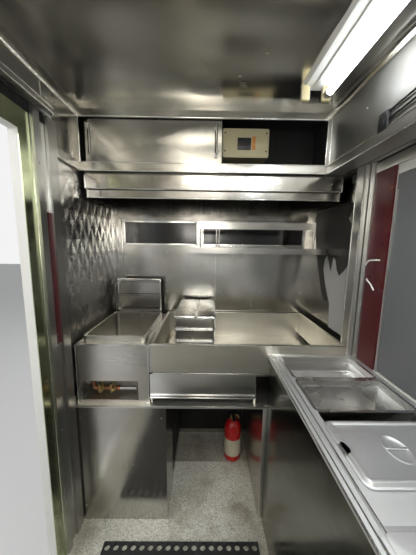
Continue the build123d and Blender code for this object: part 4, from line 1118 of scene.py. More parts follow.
@dataclass
class QuiltedWall:
    """The left wall's stainless sheet, pressed into upright diamonds."""

    node: str = "quilted_liner"
    diamond_wide: float = 0.076
    diamond_high: float = 0.126
    height: float = 0.0027
    metal: float = 0.0012
    crease: float = 0.0014
    least_fold: float = 3.0

    def build(self) -> None:
        """Press the diamonds into a grid and put it in the liner's place."""
        low, high = corners(self.node)
        across = round((high.y - low.y) / (self.diamond_wide / 2))
        up = round((high.z - low.z) / (self.diamond_high / 2))
        wall = added("quilted_wall", bpy.ops.mesh.primitive_grid_add, (high.y - low.y, high.z - low.z, 1),
                     x_subdivisions=across, y_subdivisions=up, size=1, rotation=(math.pi / 2, 0, math.pi / 2),
                     location=(high.x, (low.y + high.y) / 2, (low.z + high.z) / 2))
        step_y = (high.y - low.y) / across
        step_z = (high.z - low.z) / up
        places = {}
        for vertex in wall.data.vertices:
            place = (round((vertex.co.y - low.y) / step_y), round((vertex.co.z - low.z) / step_z))
            places[vertex.index] = place
            inside = 0 < place[0] < across and 0 < place[1] < up
            if sum(place) % 2 and inside:
                vertex.co.x += self.height
        for parity, method in ((0, "FIXED"), (1, "FIXED_ALTERNATE")):
            pick_faces(wall, lambda face, odd=parity: len(face.vertices) == 4 and
                       min(sum(places[index]) for index in face.vertices) % 2 == odd)
            bpy.ops.mesh.quads_convert_to_tris(quad_method=method)
            edit_mode(False)
        shape_with(wall, "SOLIDIFY", thickness=self.metal, offset=-1)
        shape_with(wall, "BEVEL", width=self.crease, segments=1, limit_method="ANGLE",
                   angle_limit=math.radians(self.least_fold))
        mount(wall, "quilted_steel", "cart", (self.node,))


@dataclass
class CeilingSheet:
    """The bright ceiling sheet, which sags between its fixings in long soft waves."""

    node: str = "ceiling_liner"
    cells: tuple[int, int] = (120, 150)
    inset: float = 0.003
    metal: float = 0.0012
    cove: float = 0.022
    sag: float = 0.013
    free_from: float = 0.6
    held: float = 0.12

    def hang(self, x: float, y: float) -> float:
        """How deep the free sheet hangs at a place, where 1 is the full sag.

        Args:
            x: the place across the cart.
            y: the place along it.

        Returns:
            The share of the sag.
        """
        wave = noise.noise(Vector((x * 1.7, y * 6.0, 3.0)))
        buckle = noise.noise(Vector((x * 5.0, y * 3.0, 9.0)))
        return 0.62 + 0.8 * wave + 0.35 * buckle

    def build(self) -> None:
        """Wave a fine grid and curve its two long edges down."""
        low, high = corners(self.node)
        sheet = added("ceiling_sheet", bpy.ops.mesh.primitive_grid_add, (1, high.y - low.y, 1),
                      x_subdivisions=self.cells[0], y_subdivisions=self.cells[1], size=1,
                      location=(0, (low.y + high.y) / 2, high.z - self.inset))
        left, right = low.x + self.inset, high.x - self.inset
        arc = self.cove * math.pi / 2
        flat = right - left - 2 * self.cove
        length = flat + 2 * arc
        for vertex in sheet.data.vertices:
            run = (vertex.co.x + 0.5) * length
            y = vertex.co.y
            from_edge = min(run, length - run)
            drop = 0.0
            if from_edge < arc:
                turn = from_edge / self.cove
                reach = self.cove * (1 - math.cos(turn))
                vertex.co.x = left + reach if run < arc else right - reach
                drop = self.cove * (1 - math.sin(turn))
            else:
                vertex.co.x = left + self.cove + run - arc
            free = min(1.0, max(0.0, from_edge / arc - self.free_from))
            free *= min(1.0, (high.y - y) / self.held, (y - low.y) / self.held)
            vertex.co.z -= drop + free * self.sag * self.hang(vertex.co.x, y)
        shape_with(sheet, "SOLIDIFY", thickness=self.metal, offset=1)
        smooth(sheet, 60)
        mount(sheet, "mirror_steel", "cart", (self.node,))


@dataclass
class PiercedMat:
    """The black floor mat with its rows of round drain holes."""

    node: str = "rubber_mat"
    pitch: float = 0.0393
    hole: float = 0.0128
    sides: int = 12
    border: float = 1.6
    merge: float = 0.0005

    def build(self) -> None:
        """Make one pierced cell, repeat it both ways and give it its thickness."""
        low, high = corners(self.node)
        columns = int((high.x - low.x) / self.pitch)
        rows = int((high.y - low.y) / self.pitch)
        step_x = (high.x - low.x) / columns
        step_y = (high.y - low.y) / rows
        cell = added("pierced_mat", bpy.ops.mesh.primitive_circle_add, vertices=self.sides, radius=self.hole,
                     fill_type="NOTHING", rotation=(0, 0, math.radians(45)))
        edit_mode(True)
        bpy.ops.mesh.select_mode(type="VERT")
        bpy.ops.mesh.select_all(action="SELECT")
        bpy.ops.mesh.extrude_region_move()
        bpy.ops.transform.resize(value=(self.border, self.border, 1), center_override=(0, 0, 0))
        edit_mode(False)
        for vertex in cell.data.vertices:
            if vertex.co.length > self.hole * (1 + self.border) / 2:
                reach = max(abs(vertex.co.x) / step_x, abs(vertex.co.y) / step_y) * 2
                vertex.co = Vector((vertex.co.x / reach, vertex.co.y / reach, 0))
        for count, shift in ((columns, (step_x, 0, 0)), (rows, (0, step_y, 0))):
            shape_with(cell, "ARRAY", count=count, use_relative_offset=False, use_constant_offset=True,
                       constant_offset_displace=shift, use_merge_vertices=True, merge_threshold=self.merge)
        cell.location = (low.x + step_x / 2, low.y + step_y / 2, high.z)
        settle(cell)
        edit_mode(True)
        bpy.ops.mesh.select_all(action="SELECT")
        bpy.ops.mesh.normals_make_consistent(inside=False)
        edit_mode(False)
        if cell.data.polygons[0].normal.z < 0:
            cell.data.flip_normals()
        shape_with(cell, "SOLIDIFY", thickness=high.z - low.z, offset=-1)
        mount(cell, "mat", "cart", (self.node,))


@dataclass
class PressedPans:
    """What the deep-drawn steel pans share: each hangs from its rim by a straight collar."""

    corner: float = 0.020
    flange: float = 0.0105
    shoulder: float = 0.003
    taper: float = 0.175
    fold: float = 0.009
    hem: float = 0.0021
    metal: float = 0.0011
    rounding: float = 0.0012
    collar: float = 0.022

    def pan(self, name: str, place: Point, size: Pair, depth: float) -> Piece:
        """Draw one pan.

        Args:
            name: the piece's name.
            place: the middle of its rim.
            size: its width and length over the rim.
            depth: its depth.

        Returns:
            The new pan.
        """
        pan = rounded_sheet(name, place, size, self.corner)
        bpy.ops.mesh.inset(thickness=self.flange)
        press(place, size, -self.collar)
        bpy.ops.mesh.inset(thickness=self.shoulder)
        floor = (place[0], place[1], place[2] - depth)
        press(floor, size, self.collar - depth, (depth - self.collar) * self.taper)
        bpy.ops.mesh.bevel(offset=self.fold, segments=3, affect="EDGES")
        bpy.ops.mesh.select_all(action="DESELECT")
        bpy.ops.mesh.select_non_manifold(extend=False)
        bpy.ops.mesh.extrude_edges_move(TRANSFORM_OT_translate={"value": (0, 0, -self.hem)})
        edit_mode(False)
        sheet_metal(pan, self.metal, self.rounding)
        return pan


@dataclass
class CounterPans(PressedPans):
    """The three pans in the counter's well."""

    node: str = "steam_pans"
    along: float = 0.176
    gap: float = 0.001
    shallow: float = 0.065
    deep: float = 0.150

    def build(self) -> None:
        """Press the pans where the CAD ones hang."""
        low, high = corners(self.node)
        x, _, (width, _) = level_box(self.node)
        first = high.y - self.along / 2
        rows = [(first, self.shallow), (first - self.along - self.gap, self.deep),
                (low.y + self.along / 2, self.deep)]
        pans = [self.pan("counter_pan", (x, y, high.z), (width, self.along), depth) for y, depth in rows]
        mount(joined("counter_pans", pans), "pan_steel", "cart", (self.node,))


@dataclass
class StackedPans(PressedPans):
    """The nested pans on the griddle and their two-part lid."""

    node: str = "spare_pans"
    pitch: float = 0.062
    collar: float = 0.0615
    depth: float = 0.129
    lid: float = 0.009
    split: float = 0.53
    lid_border: float = 0.006
    lid_rise: float = 0.005

    def build(self) -> None:
        """Press three pans and fold the lid, whose right half lies a little lower."""
        low, high = corners(self.node)
        x, y, size = level_box(self.node)
        rim = high.z - self.lid - 2 * self.pitch
        pans = [self.pan("stacked_pan", (x, y, rim + level * self.pitch), size, self.depth)
                for level in range(3)]
        seam = low.x + size[0] * self.split
        for start, end, drop in ((low.x, seam, 0.006), (seam + 0.001, high.x, 0.0085)):
            middle = (start + end) / 2
            cover = rounded_sheet("stack_lid", (middle, y, high.z - drop), (end - start, size[1]), 0.012)
            bpy.ops.mesh.inset(thickness=self.lid_border)
            press((middle, y, high.z), size, self.lid_rise, 0.004)
            edit_mode(False)
            sheet_metal(cover, 0.0012, 0.0011)
            pans.append(cover)
        mount(joined("stacked_pans", pans), "pan_steel", "cart", (self.node,))


@dataclass
class PressedLid:
    """The pan lid: a beaded border, an oval recess with a bar to lift it by, and a spoon notch."""

    node: str = "pan_lid"
    corner: float = 0.020
    metal: float = 0.0011
    field_rise: float = 0.0052
    oval: Pair = (0.026, 0.037)
    oval_shift: float = 0.025
    notch: float = 0.018
    grip_half: float = 0.003

    def build(self) -> None:
        """Press the sheet, cut the oval and the notch, and add the dish and its bar."""
        low, _ = corners(self.node)
        x, y, size = level_box(self.node)
        flat = (x, y, low.z + 0.001)
        lid = rounded_sheet("pressed_lid", flat, size, self.corner, 6)
        for inset, rise, draw in ((0.006, 0.0078, 0.006), (0.007, -0.0036, 0.010)):
            bpy.ops.mesh.inset(thickness=inset)
            press(flat, size, rise, draw)
        edit_mode(False)
        sheet_metal(lid, self.metal, 0.0013, 25)
        field_z = low.z + self.field_rise
        grip = (x - self.oval_shift, y, field_z)
        cut(lid, disc("oval", grip, self.oval, 0.02))
        cut(lid, disc("notch", (low.x + 0.004, y, field_z), (self.notch, self.notch), 0.04))
        dish = spun("dish", [(TIP, -0.0035), (0.6, -0.0034), (0.86, -0.0022), (0.98, 0.0), (1.06, 0.0014),
                             (1.14, 0.0006), (1.13, -0.0002), (1.0, -0.0008), (0.86, -0.0032),
                             (0.6, -0.0044), (TIP, -0.0045)], (0, 0, 0))
        dish.scale = (*self.oval, 1)
        dish.location = grip
        settle(dish)
        smooth(dish, 50)
        handle = bar("handle", (grip[0] - self.oval[0], y - self.grip_half, field_z - 0.001),
                     (grip[0] + self.oval[0], y + self.grip_half, field_z + 0.002), 0.0012)
        mount(joined("pressed_lid", [lid, dish, handle]), "satin_pan", "lid", (self.node,))


@dataclass
class PotStation:
    """The adapter plate over the second well and the pot that hangs in it."""

    plate_node: str = "adapter_plate"
    pot_node: str = "round_pot"
    corner: float = 0.020
    border: float = 0.008
    lift: float = 0.0012
    rim_radius: float = 0.120
    rim_seat: float = 0.009

    def build(self) -> None:
        """Press the plate, cut its hole and turn the pot."""
        low, high = corners(self.plate_node)
        x, y, size = level_box(self.plate_node)
        cover = rounded_sheet("pressed_adapter", (x, y, low.z + self.lift), size, self.corner, 6)
        bpy.ops.mesh.inset(thickness=self.border)
        press((x, y, high.z), size, high.z - low.z - self.lift, 0.004)
        edit_mode(False)
        sheet_metal(cover, 0.0011, 0.0010, 25)
        hole = self.rim_radius - self.rim_seat
        cut(cover, disc("hole", (x, y, low.z), (hole, hole), 0.04, 64))
        mount(cover, "satin_pan", "cart", (self.plate_node,))
        low, high = corners(self.pot_node)
        wide, foot = self.rim_radius, low.z - high.z
        profile = [(TIP, foot), (wide - 0.030, foot), (wide - 0.024, foot + 0.006),
                   (wide - 0.0125, -0.012), (wide - 0.010, -0.0055), (wide - 0.002, -0.006), (wide, -0.003),
                   (wide - 0.002, 0.0), (wide - 0.012, -0.001), (wide - 0.0145, -0.012),
                   (wide - 0.0262, foot + 0.008), (wide - 0.031, foot + 0.002), (TIP, foot + 0.002)]
        pot = spun("turned_pot", profile, (x, y, high.z), "Z", 64)
        mount(pot, "satin_pan", "cart", (self.pot_node,))


@dataclass
class Extinguisher:
    """The red extinguisher in the kneehole, with a blank label and a lever valve."""

    node: str = "extinguisher"
    radius: float = 0.052
    label_high: float = 0.112
    label_middle: float = 0.093
    label_end: float = 0.15
    lever_half: float = 0.009

    def build(self) -> None:
        """Turn the bottle, wrap the label round its front and build the valve."""
        low, high = corners(self.node)
        x, y, foot = (low.x + high.x) / 2, high.y - self.radius, low.z
        wide, half = self.radius, self.lever_half
        bottle = spun("extinguisher_bottle", [
            (TIP, 0.003), (wide - 0.012, 0.0), (wide - 0.004, 0.0), (wide, 0.005), (wide, 0.205),
            (wide - 0.002, 0.222), (wide - 0.010, 0.242), (wide - 0.024, 0.258), (0.019, 0.264),
            (0.017, 0.268), (0.017, 0.272), (TIP, 0.272)], (x, y, foot), "Z", 48)
        mount(bottle, "extinguisher", "cart", (self.node,))
        label = added("blank_label", bpy.ops.mesh.primitive_cylinder_add, vertices=64,
                      radius=wide + 0.0003, depth=self.label_high, end_fill_type="NOTHING",
                      location=(x, y, foot + self.label_middle))
        pick_faces(label, lambda face: face.center.y > y + wide * self.label_end)
        bpy.ops.mesh.delete(type="FACE")
        edit_mode(False)
        shape_with(label, "SOLIDIFY", thickness=0.0005, offset=1)
        smooth(label, 60)
        mount(label, "label", "cart")
        neck = spun("extinguisher_neck", [(TIP, 0.270), (0.020, 0.270), (0.020, 0.281), (0.013, 0.284),
                                          (0.013, 0.297), (TIP, 0.297)], (x, y, foot), "Z", 24)
        gauge = spun("gauge", [(TIP, 0.0), (0.012, 0.0), (0.012, -0.007), (0.010, -0.009),
                               (TIP, -0.009)], (x, y - 0.013, foot + 0.288), "Y", 24)
        spout = tube("spout", [(x + 0.012, y, foot + 0.290), (x + 0.030, y, foot + 0.290),
                               (x + 0.036, y - 0.012, foot + 0.276)], 0.005, 0.006)
        mount(joined("extinguisher_valve", [neck, gauge, spout]), "brass", "cart")
        levers = [bar("lever", (x - half, y - near, foot + under), (x + half, y + far, foot + over), 0.0012)
                  for near, far, under, over in ((0.066, 0.012, 0.302, 0.3055),
                                                 (0.058, -0.010, 0.290, 0.293))]
        levers.append(tube("pin", [(x + end, y - 0.004, foot + 0.299) for end in (-0.016, 0.016)], 0.0018))
        mount(joined("extinguisher_levers", levers), "black", "cart")


@dataclass
class GasCocks:
    """The copper gas pipe in the fryer's bay, its brass cocks and the plain pipe that feeds it."""

    node: str = "valve_manifold"
    cocks: tuple[float, ...] = (0.040, 0.095)
    collars: tuple[float, ...] = (0.022, 0.118)
    collar_radius: float = 0.013
    body_radius: float = 0.0125
    copper_end: float = 0.125
    feed_end: float = 0.205

    def build(self) -> None:
        """Run the pipe and put the fittings on it."""
        low, high = corners(self.node)
        y, z = LINE_FRONT + 0.050, low.z + 0.018
        left = low.x + 0.011
        pipe = tube("copper_pipe", [(left, y, high.z), (left, y, z), (left + self.copper_end, y, z)],
                    0.0095, 0.018, 20)
        wide = (self.collar_radius, self.collar_radius)
        run = [pipe]
        run += [disc("collar", (left + along, y, z), wide, 0.016, 6, TURN_X) for along in self.collars]
        run.append(disc("collar", (left, y, high.z - 0.018), wide, 0.016, 6))
        mount(joined("copper_run", run), "copper", "cart", (self.node,))
        feed = tube("feed_pipe", [(left + 0.118, y, z), (left + self.feed_end, y, z)], 0.0085, 0.01, 16)
        mount(feed, "zinc", "cart")
        fittings = []
        for along in self.cocks:
            x = left + along
            fittings += [
                disc("body", (x, y, z), (self.body_radius, self.body_radius), 0.024, 8, TURN_X),
                spun("stem", [(TIP, 0.0), (0.008, 0.0), (0.008, -0.014), (0.005, -0.018), (TIP, -0.018)],
                     (x, y - 0.010, z), "Y", 16),
                bar("handle", (x - 0.0035, y - 0.034, z - 0.006), (x + 0.0035, y - 0.029, z + 0.038), 0.0015),
                tube("riser", [(x, y, z), (x, y, high.z)], 0.005, 0.01, 12)]
        mount(joined("gas_cocks", fittings), "brass", "cart")


@dataclass
class CeilingLamp:
    """Lampholders, tube caps and the ridge of the twin batten light."""

    batten: str = "light_fixture"
    tube_node: str = "light_tube"
    holder: Point = (0.0146, 0.0150, 0.019)
    cap: float = 0.022
    ridge: float = 0.012

    def build(self) -> None:
        """Put the small parts on the CAD batten and the lit tube."""
        low, high = corners(self.batten)
        tube_low, tube_high = corners(self.tube_node)
        middle = (low.x + high.x) / 2
        lit_x = (tube_low.x + tube_high.x) / 2
        z = (tube_low.z + tube_high.z) / 2
        radius = (tube_high.z - tube_low.z) / 2 + 0.0006
        half, deep, under = self.holder
        holders = []
        for x in (lit_x, 2 * middle - lit_x):
            for y, way in ((tube_high.y, 1), (tube_low.y, -1)):
                start, end = sorted((y - way * 0.0008, y + way * deep))
                holders.append(((x - half, start, z - under), (x + half, end, high.z - 0.010), 0.004))
        mount(bars("lampholders", holders, 3), "lampholder", "cart")
        caps = [disc("cap", (lit_x, y, z), (radius, radius), self.cap, 28, TURN_Y)
                for y in (tube_high.y - self.cap / 2, tube_low.y + self.cap / 2)]
        mount(joined("tube_caps", caps), "aluminium", "cart")
        cover = bar("batten_ridge", (middle - self.ridge, low.y + 0.03, high.z - 0.0295),
                    (middle + self.ridge, high.y - 0.03, high.z - 0.025), 0.002)
        mount(cover, "lamp_white", "cart")


@dataclass
class CabinetFittings:
    """What is on and in the wall cabinet: painted shade inside, box details, pulls and the door's skin."""

    node: str = "upper_cabinet"
    box_node: str = "control_box"
    door_node: str = "cabinet_door_front"
    door_thickness: float = 0.012
    film: float = 0.0005
    pull_half: float = 0.062
    rose_half: float = 0.056
    skin_margin: float = 0.010
    break_rise: float = 0.0034

    def painted_shade_inside(self) -> None:
        """Line the unlit inside with thin black sheets of painted shade."""
        low, high = corners(self.node)
        front, back, floor_front, film = 0.241, high.y - 0.0031, 0.277, self.film
        left, right, foot, top = low.x + 0.0051, high.x - 0.0051, low.z + 0.0031, high.z - 0.0031
        sheets = [((left, back - film, foot), (right, back, top)),
                  ((left, front, top - film), (right, back, top)),
                  ((left, front, foot), (left + film, back, top)),
                  ((right - film, front, foot), (right, back, top)),
                  ((left, floor_front, foot), (right, back, foot + film))]
        mount(bars("cabinet_painted_shade", [(*sheet, 0.0001) for sheet in sheets], 1), "dark", "cart")

    def box_details(self) -> None:
        """Put the blank plate, the orange strip and the lid screws on the beige box."""
        low, high = corners(self.box_node)
        face = low.y
        plates = [((low.x + 0.072, face - 0.004, low.z + 0.035),
                   (low.x + 0.138, face + 0.001, high.z - 0.042), 0.001),
                  ((low.x + 0.080, face - 0.006, low.z + 0.043),
                   (low.x + 0.130, face - 0.003, low.z + 0.062), 0.001)]
        mount(bars("box_plate", plates), "black", "cart")
        strip = bar("orange_strip", (low.x + 0.143, face - 0.0008, low.z + 0.036),
                    (low.x + 0.160, face + 0.0004, high.z - 0.034), 0.0002)
        mount(strip, "orange", "cart")
        spots = [(x, face, z) for x in (low.x + 0.012, high.x - 0.012)
                 for z in (low.z + 0.030, high.z - 0.020)]
        mount(screw_heads("box_screws", "-Y", spots, 0.004), "black", "cart")

    def pulls(self) -> None:
        """Add the flat pull at the front door's left and the seats of its tube handle."""
        low, high = corners(self.door_node)
        face = high.y - self.door_thickness
        middle = (low.z + high.z) / 2
        left, right = low.x + 0.006, high.x - 0.025
        stand, end, turn = face - 0.0045, self.pull_half, self.pull_half - 0.005
        parts = [tube("pull", [(left, face, middle + end), (left, stand, middle + turn),
                               (left, stand, middle - turn), (left, face, middle - end)], 0.0024, 0.003, 12)]
        for x, reach, radius, thick, sides in ((left, end, 0.006, 0.002, 16),
                                               (right, self.rose_half, 0.010, 0.003, 24)):
            parts += [disc("seat", (x, face - thick / 2, middle + side * reach), (radius, radius), thick,
                           sides, TURN_Y) for side in (-1, 1)]
        mount(joined("door_pulls", parts), "aluminium", "sliding_door_front")

    def skin(self) -> None:
        """Lay the cross-broken skin on the front door, raised a little in its middle."""
        low, high = corners(self.door_node)
        left, right = low.x + self.skin_margin, high.x - self.skin_margin
        foot, head = low.z + self.skin_margin, high.z - self.skin_margin
        skin = plate("cross_broken_skin", "Y", high.y - self.door_thickness - 0.0002,
                     [(left, foot), (right, foot), (right, head), (left, head)], 0.0002)
        pick_faces(skin, lambda face: face.normal.y < -0.9)
        bpy.ops.mesh.poke(offset=self.break_rise)
        edit_mode(False)
        mount(skin, "door_steel", "sliding_door_front")

    def build(self) -> None:
        """Build the four groups."""
        self.painted_shade_inside()
        self.box_details()
        self.pulls()
        self.skin()


@dataclass
class FoldedEdges:
    """The hems where sheets are folded or meet, as bright bars whose brightness is painted highlight."""

    half: float = 0.0022
    cabinet_front: float = 0.236
    cabinet_head: float = 2.470
    stile: float = 0.018
    lip: float = 0.037
    gutter: float = 2.163
    canopy: float = 2.230
    hood_foot: float = 2.124
    fryer_rim: float = 1.448
    flue: Pair = (-0.5935, -0.3285)
    flue_face: float = 0.550
    flue_head: float = 1.683
    post_x: float = 0.6085
    jamb_x: float = 0.6420
    track_x: float = 0.6005

    def bead(self, start: Point, end: Point) -> Piece:
        """One straight bead along an axis.

        Args:
            start: one of its ends.
            end: the other end.

        Returns:
            The new bead.
        """
        low = tuple(min(a, b) - self.half for a, b in zip(start, end))
        high = tuple(max(a, b) + self.half for a, b in zip(start, end))
        return bar("bead", low, high, self.half * 0.8, 2)

    @staticmethod
    def across(box: Box, y: float, z: float) -> Run:
        """The ends of a bead over the width of a node's box."""
        return (box[0].x, y, z), (box[1].x, y, z)

    @staticmethod
    def along(box: Box, x: float, z: float) -> Run:
        """The ends of a bead over the length of a node's box."""
        return (x, box[0].y, z), (x, box[1].y, z)

    @staticmethod
    def upright(x: float, y: float, foot: float, head: float) -> Run:
        """The ends of an upright bead."""
        return (x, y, foot), (x, y, head)

    def overhead(self) -> list[Run]:
        """Where the beads of the cabinet and the hood lie.

        Returns:
            The two ends of each bead.
        """
        cab, hood = corners("upper_cabinet"), corners("exhaust_hood")
        front, head, sill = self.cabinet_front, self.cabinet_head, cab[0].z + self.lip
        return [
            *(self.across(cab, front, z) for z in (cab[0].z, sill, head)),
            self.upright(cab[1].x - self.stile, front, sill, head),
            self.upright(cab[1].x, front, cab[0].z, head + 0.030),
            self.upright(cab[0].x + self.stile, front, sill, head),
            self.across(hood, hood[0].y, self.gutter),
            self.across(hood, hood[0].y + 0.014, self.hood_foot),
            *(self.upright(x, hood[0].y, self.gutter, self.canopy) for x in (hood[0].x, hood[1].x))]

    def cooking_line(self) -> list[Run]:
        """Where the beads of the end wall and the cooking line lie.

        Returns:
            The two ends of each bead.
        """
        fryer, griddle, ledge = (corners(node) for node in ("fryer_body", "griddle", "ledge"))
        wall, rim, top = END_WALL - 0.001, self.fryer_rim, griddle[1].z
        griddle_foot = ((-0.2765, LINE_FRONT - 0.0015, 1.3135), (0.2600, LINE_FRONT - 0.0015, 1.3135))
        return [
            griddle_foot,
            self.upright(0.024, wall, 1.460, 1.885),
            self.upright(-0.590, wall, 1.640, 2.055),
            ((-0.590, wall, 1.893), (0.610, wall, 1.893)),
            self.across(fryer, fryer[0].y, rim),
            *(self.upright(x, fryer[0].y, fryer[0].z, rim - 0.002) for x in (fryer[1].x, fryer[0].x)),
            self.across(griddle, griddle[0].y, top),
            self.upright(griddle[0].x, griddle[0].y, 1.320, top),
            self.along(griddle, griddle[0].x, top),
            self.across(ledge, ledge[0].y, ledge[1].z)]

    def counter_and_flue(self) -> list[Run]:
        """Where the beads of the steam counter and the fryer's flue lie.

        Returns:
            The two ends of each bead.
        """
        box = corners("steam_counter")
        left, top = box[0].x, box[1].z
        return [
            *(self.along(box, left + inside, z) for inside, z in ((0, top), (0.013, top), (0.035, 1.405))),
            self.across(box, box[1].y, top),
            *(self.upright(x, self.flue_face, self.fryer_rim + 0.0005, self.flue_head) for x in self.flue),
            tuple((x, self.flue_face, self.flue_head) for x in self.flue)]

    def build(self) -> None:
        """Lay the painted highlight beads of the kitchen's sheets, and those of the posts and the door's
        track.
        """
        rows = self.overhead() + self.cooking_line() + self.counter_and_flue()
        mount(joined("hem_highlights", [self.bead(*row) for row in rows]), "bead", "cart")
        posts = [self.upright(self.post_x, y, FLOOR + 0.88, FLOOR + 1.70) for y in (0.100, 0.150)]
        posts += [self.upright(-self.jamb_x, y, FLOOR, 2.362) for y in (-0.043, -0.010, 0.030, 0.080)]
        posts += [((-self.track_x, -1.490, z), (-self.track_x, 0.024, z)) for z in (2.366, 2.384)]
        mount(joined("post_highlights", [self.bead(*row) for row in posts]), "bead", "cart")


@dataclass
class SplashFields:
    """Painted reflections of the hood's dark cavity on the end wall above the shelf, each in a frame of
    painted highlight.
    """

    fields: Pairs = ((-0.576, -0.094), (-0.066, 0.600))
    foot: float = FLOOR + 1.368
    head: float = FLOOR + 1.522
    frame_wide: float = 0.010
    frame_deep: float = 0.007

    def build(self) -> None:
        """Put a dark sheet of painted reflection and its bright frame of painted highlight in each field."""
        sheets = [((left, END_WALL - 0.003, self.foot), (right, END_WALL - 0.0005, self.head), 0.0006)
                  for left, right in self.fields]
        frames = [ring_frame("field_frame", "Y", (left, self.foot), (right, self.head), END_WALL - 0.004,
                             self.frame_wide, self.frame_deep, 0.004) for left, right in self.fields]
        mount(bars("reflection_fields", sheets, 1), "dark_reflection", "cart")
        mount(joined("field_highlight_frames", frames), "bead", "cart")


@dataclass
class DrawerFront:
    """The drip drawer's folded front, flush with the cooking line, with the double lip it is pulled by,
    bright with painted highlight.
    """

    node: str = "drip_drawer"
    left: float = -0.2930
    right: float = 0.1985
    low: float = 1.1895
    high: float = 1.3085
    face: float = 0.1005
    lip: float = 0.016
    lip_past: float = 0.004
    bead: float = 0.0036

    def build(self) -> None:
        """Fold the front, join it to the drawer and add the lip with its two beads, both bright with painted
        highlight.
        """
        box_low, box_high = corners(self.node)
        end = self.right + self.lip_past
        front = [((self.left, self.face, self.low), (self.right, self.face + 0.0090, self.high), 0.0012),
                 ((box_low.x, self.face + 0.008, self.low + 0.014),
                  (box_high.x, self.face + 0.0455, self.high - 0.006), 0.0010)]
        lips = [((self.left, self.face - 0.0020, self.low),
                 (end, self.face + 0.0030, self.low + self.lip), 0.0008)]
        lips += [((self.left, self.face - 0.0045, foot), (end, self.face + 0.0010, foot + self.bead), 0.0014)
                 for foot in (self.low, self.low + self.lip - self.bead)]
        mount(bars("drawer_front", front), "drawer_steel", "drawer")
        # Painted highlight: the lip and its beads take the bright edge finish.
        mount(bars("drawer_lip_highlight", lips), "bead", "drawer")


@dataclass
class KneeholeShade:
    """Painted shade deep in the kneehole: near-black sheets on the back lining, under the ledge and on the
    left pedestal's inside, and the strip on its front edge.
    """

    left: float = -0.2150
    right: float = 0.2370
    back: float = END_WALL - 0.0005

    def build(self) -> None:
        """Lay the painted shade on the back lining, under the ledge and on the left pedestal's inside, and
        the strip on the front edge.
        """
        inner = self.back - 0.002
        shade_sheets = [((self.left, self.back - 0.0010, FLOOR + 0.030), (self.right, self.back, KNEE_TOP), 0.0004),
                 ((self.left, 0.150, KNEE_TOP - 0.0002), (self.right, inner, KNEE_TOP + 0.0006), 0.0003),
                 ((self.left - 0.0022, 0.290, FLOOR + 0.060),
                  (self.left - 0.0012, inner, KNEE_TOP - 0.001), 0.0004)]
        mount(bars("kneehole_painted_shade", shade_sheets), "kneehole_shade", "cart")
        strip = bar("kneehole_edge", (0.2392, 0.0982, FLOOR + 0.001), (0.2582, 0.1002, KNEE_TOP), 0.0007)
        mount(strip, "ledge_steel", "cart")


@dataclass
class TrackShadow:
    """A dark strip of painted shadow between the doorway's head and the sliding door's track."""

    low: Point = (-0.6440, -0.850, FLOOR + 1.803)
    high: Point = (-0.6395, 0.030, FLOOR + 1.8335)

    def build(self) -> None:
        """Lay the painted shadow along the track."""
        mount(bar("painted_track_shadow", self.low, self.high, 0.001), "dark", "cart")


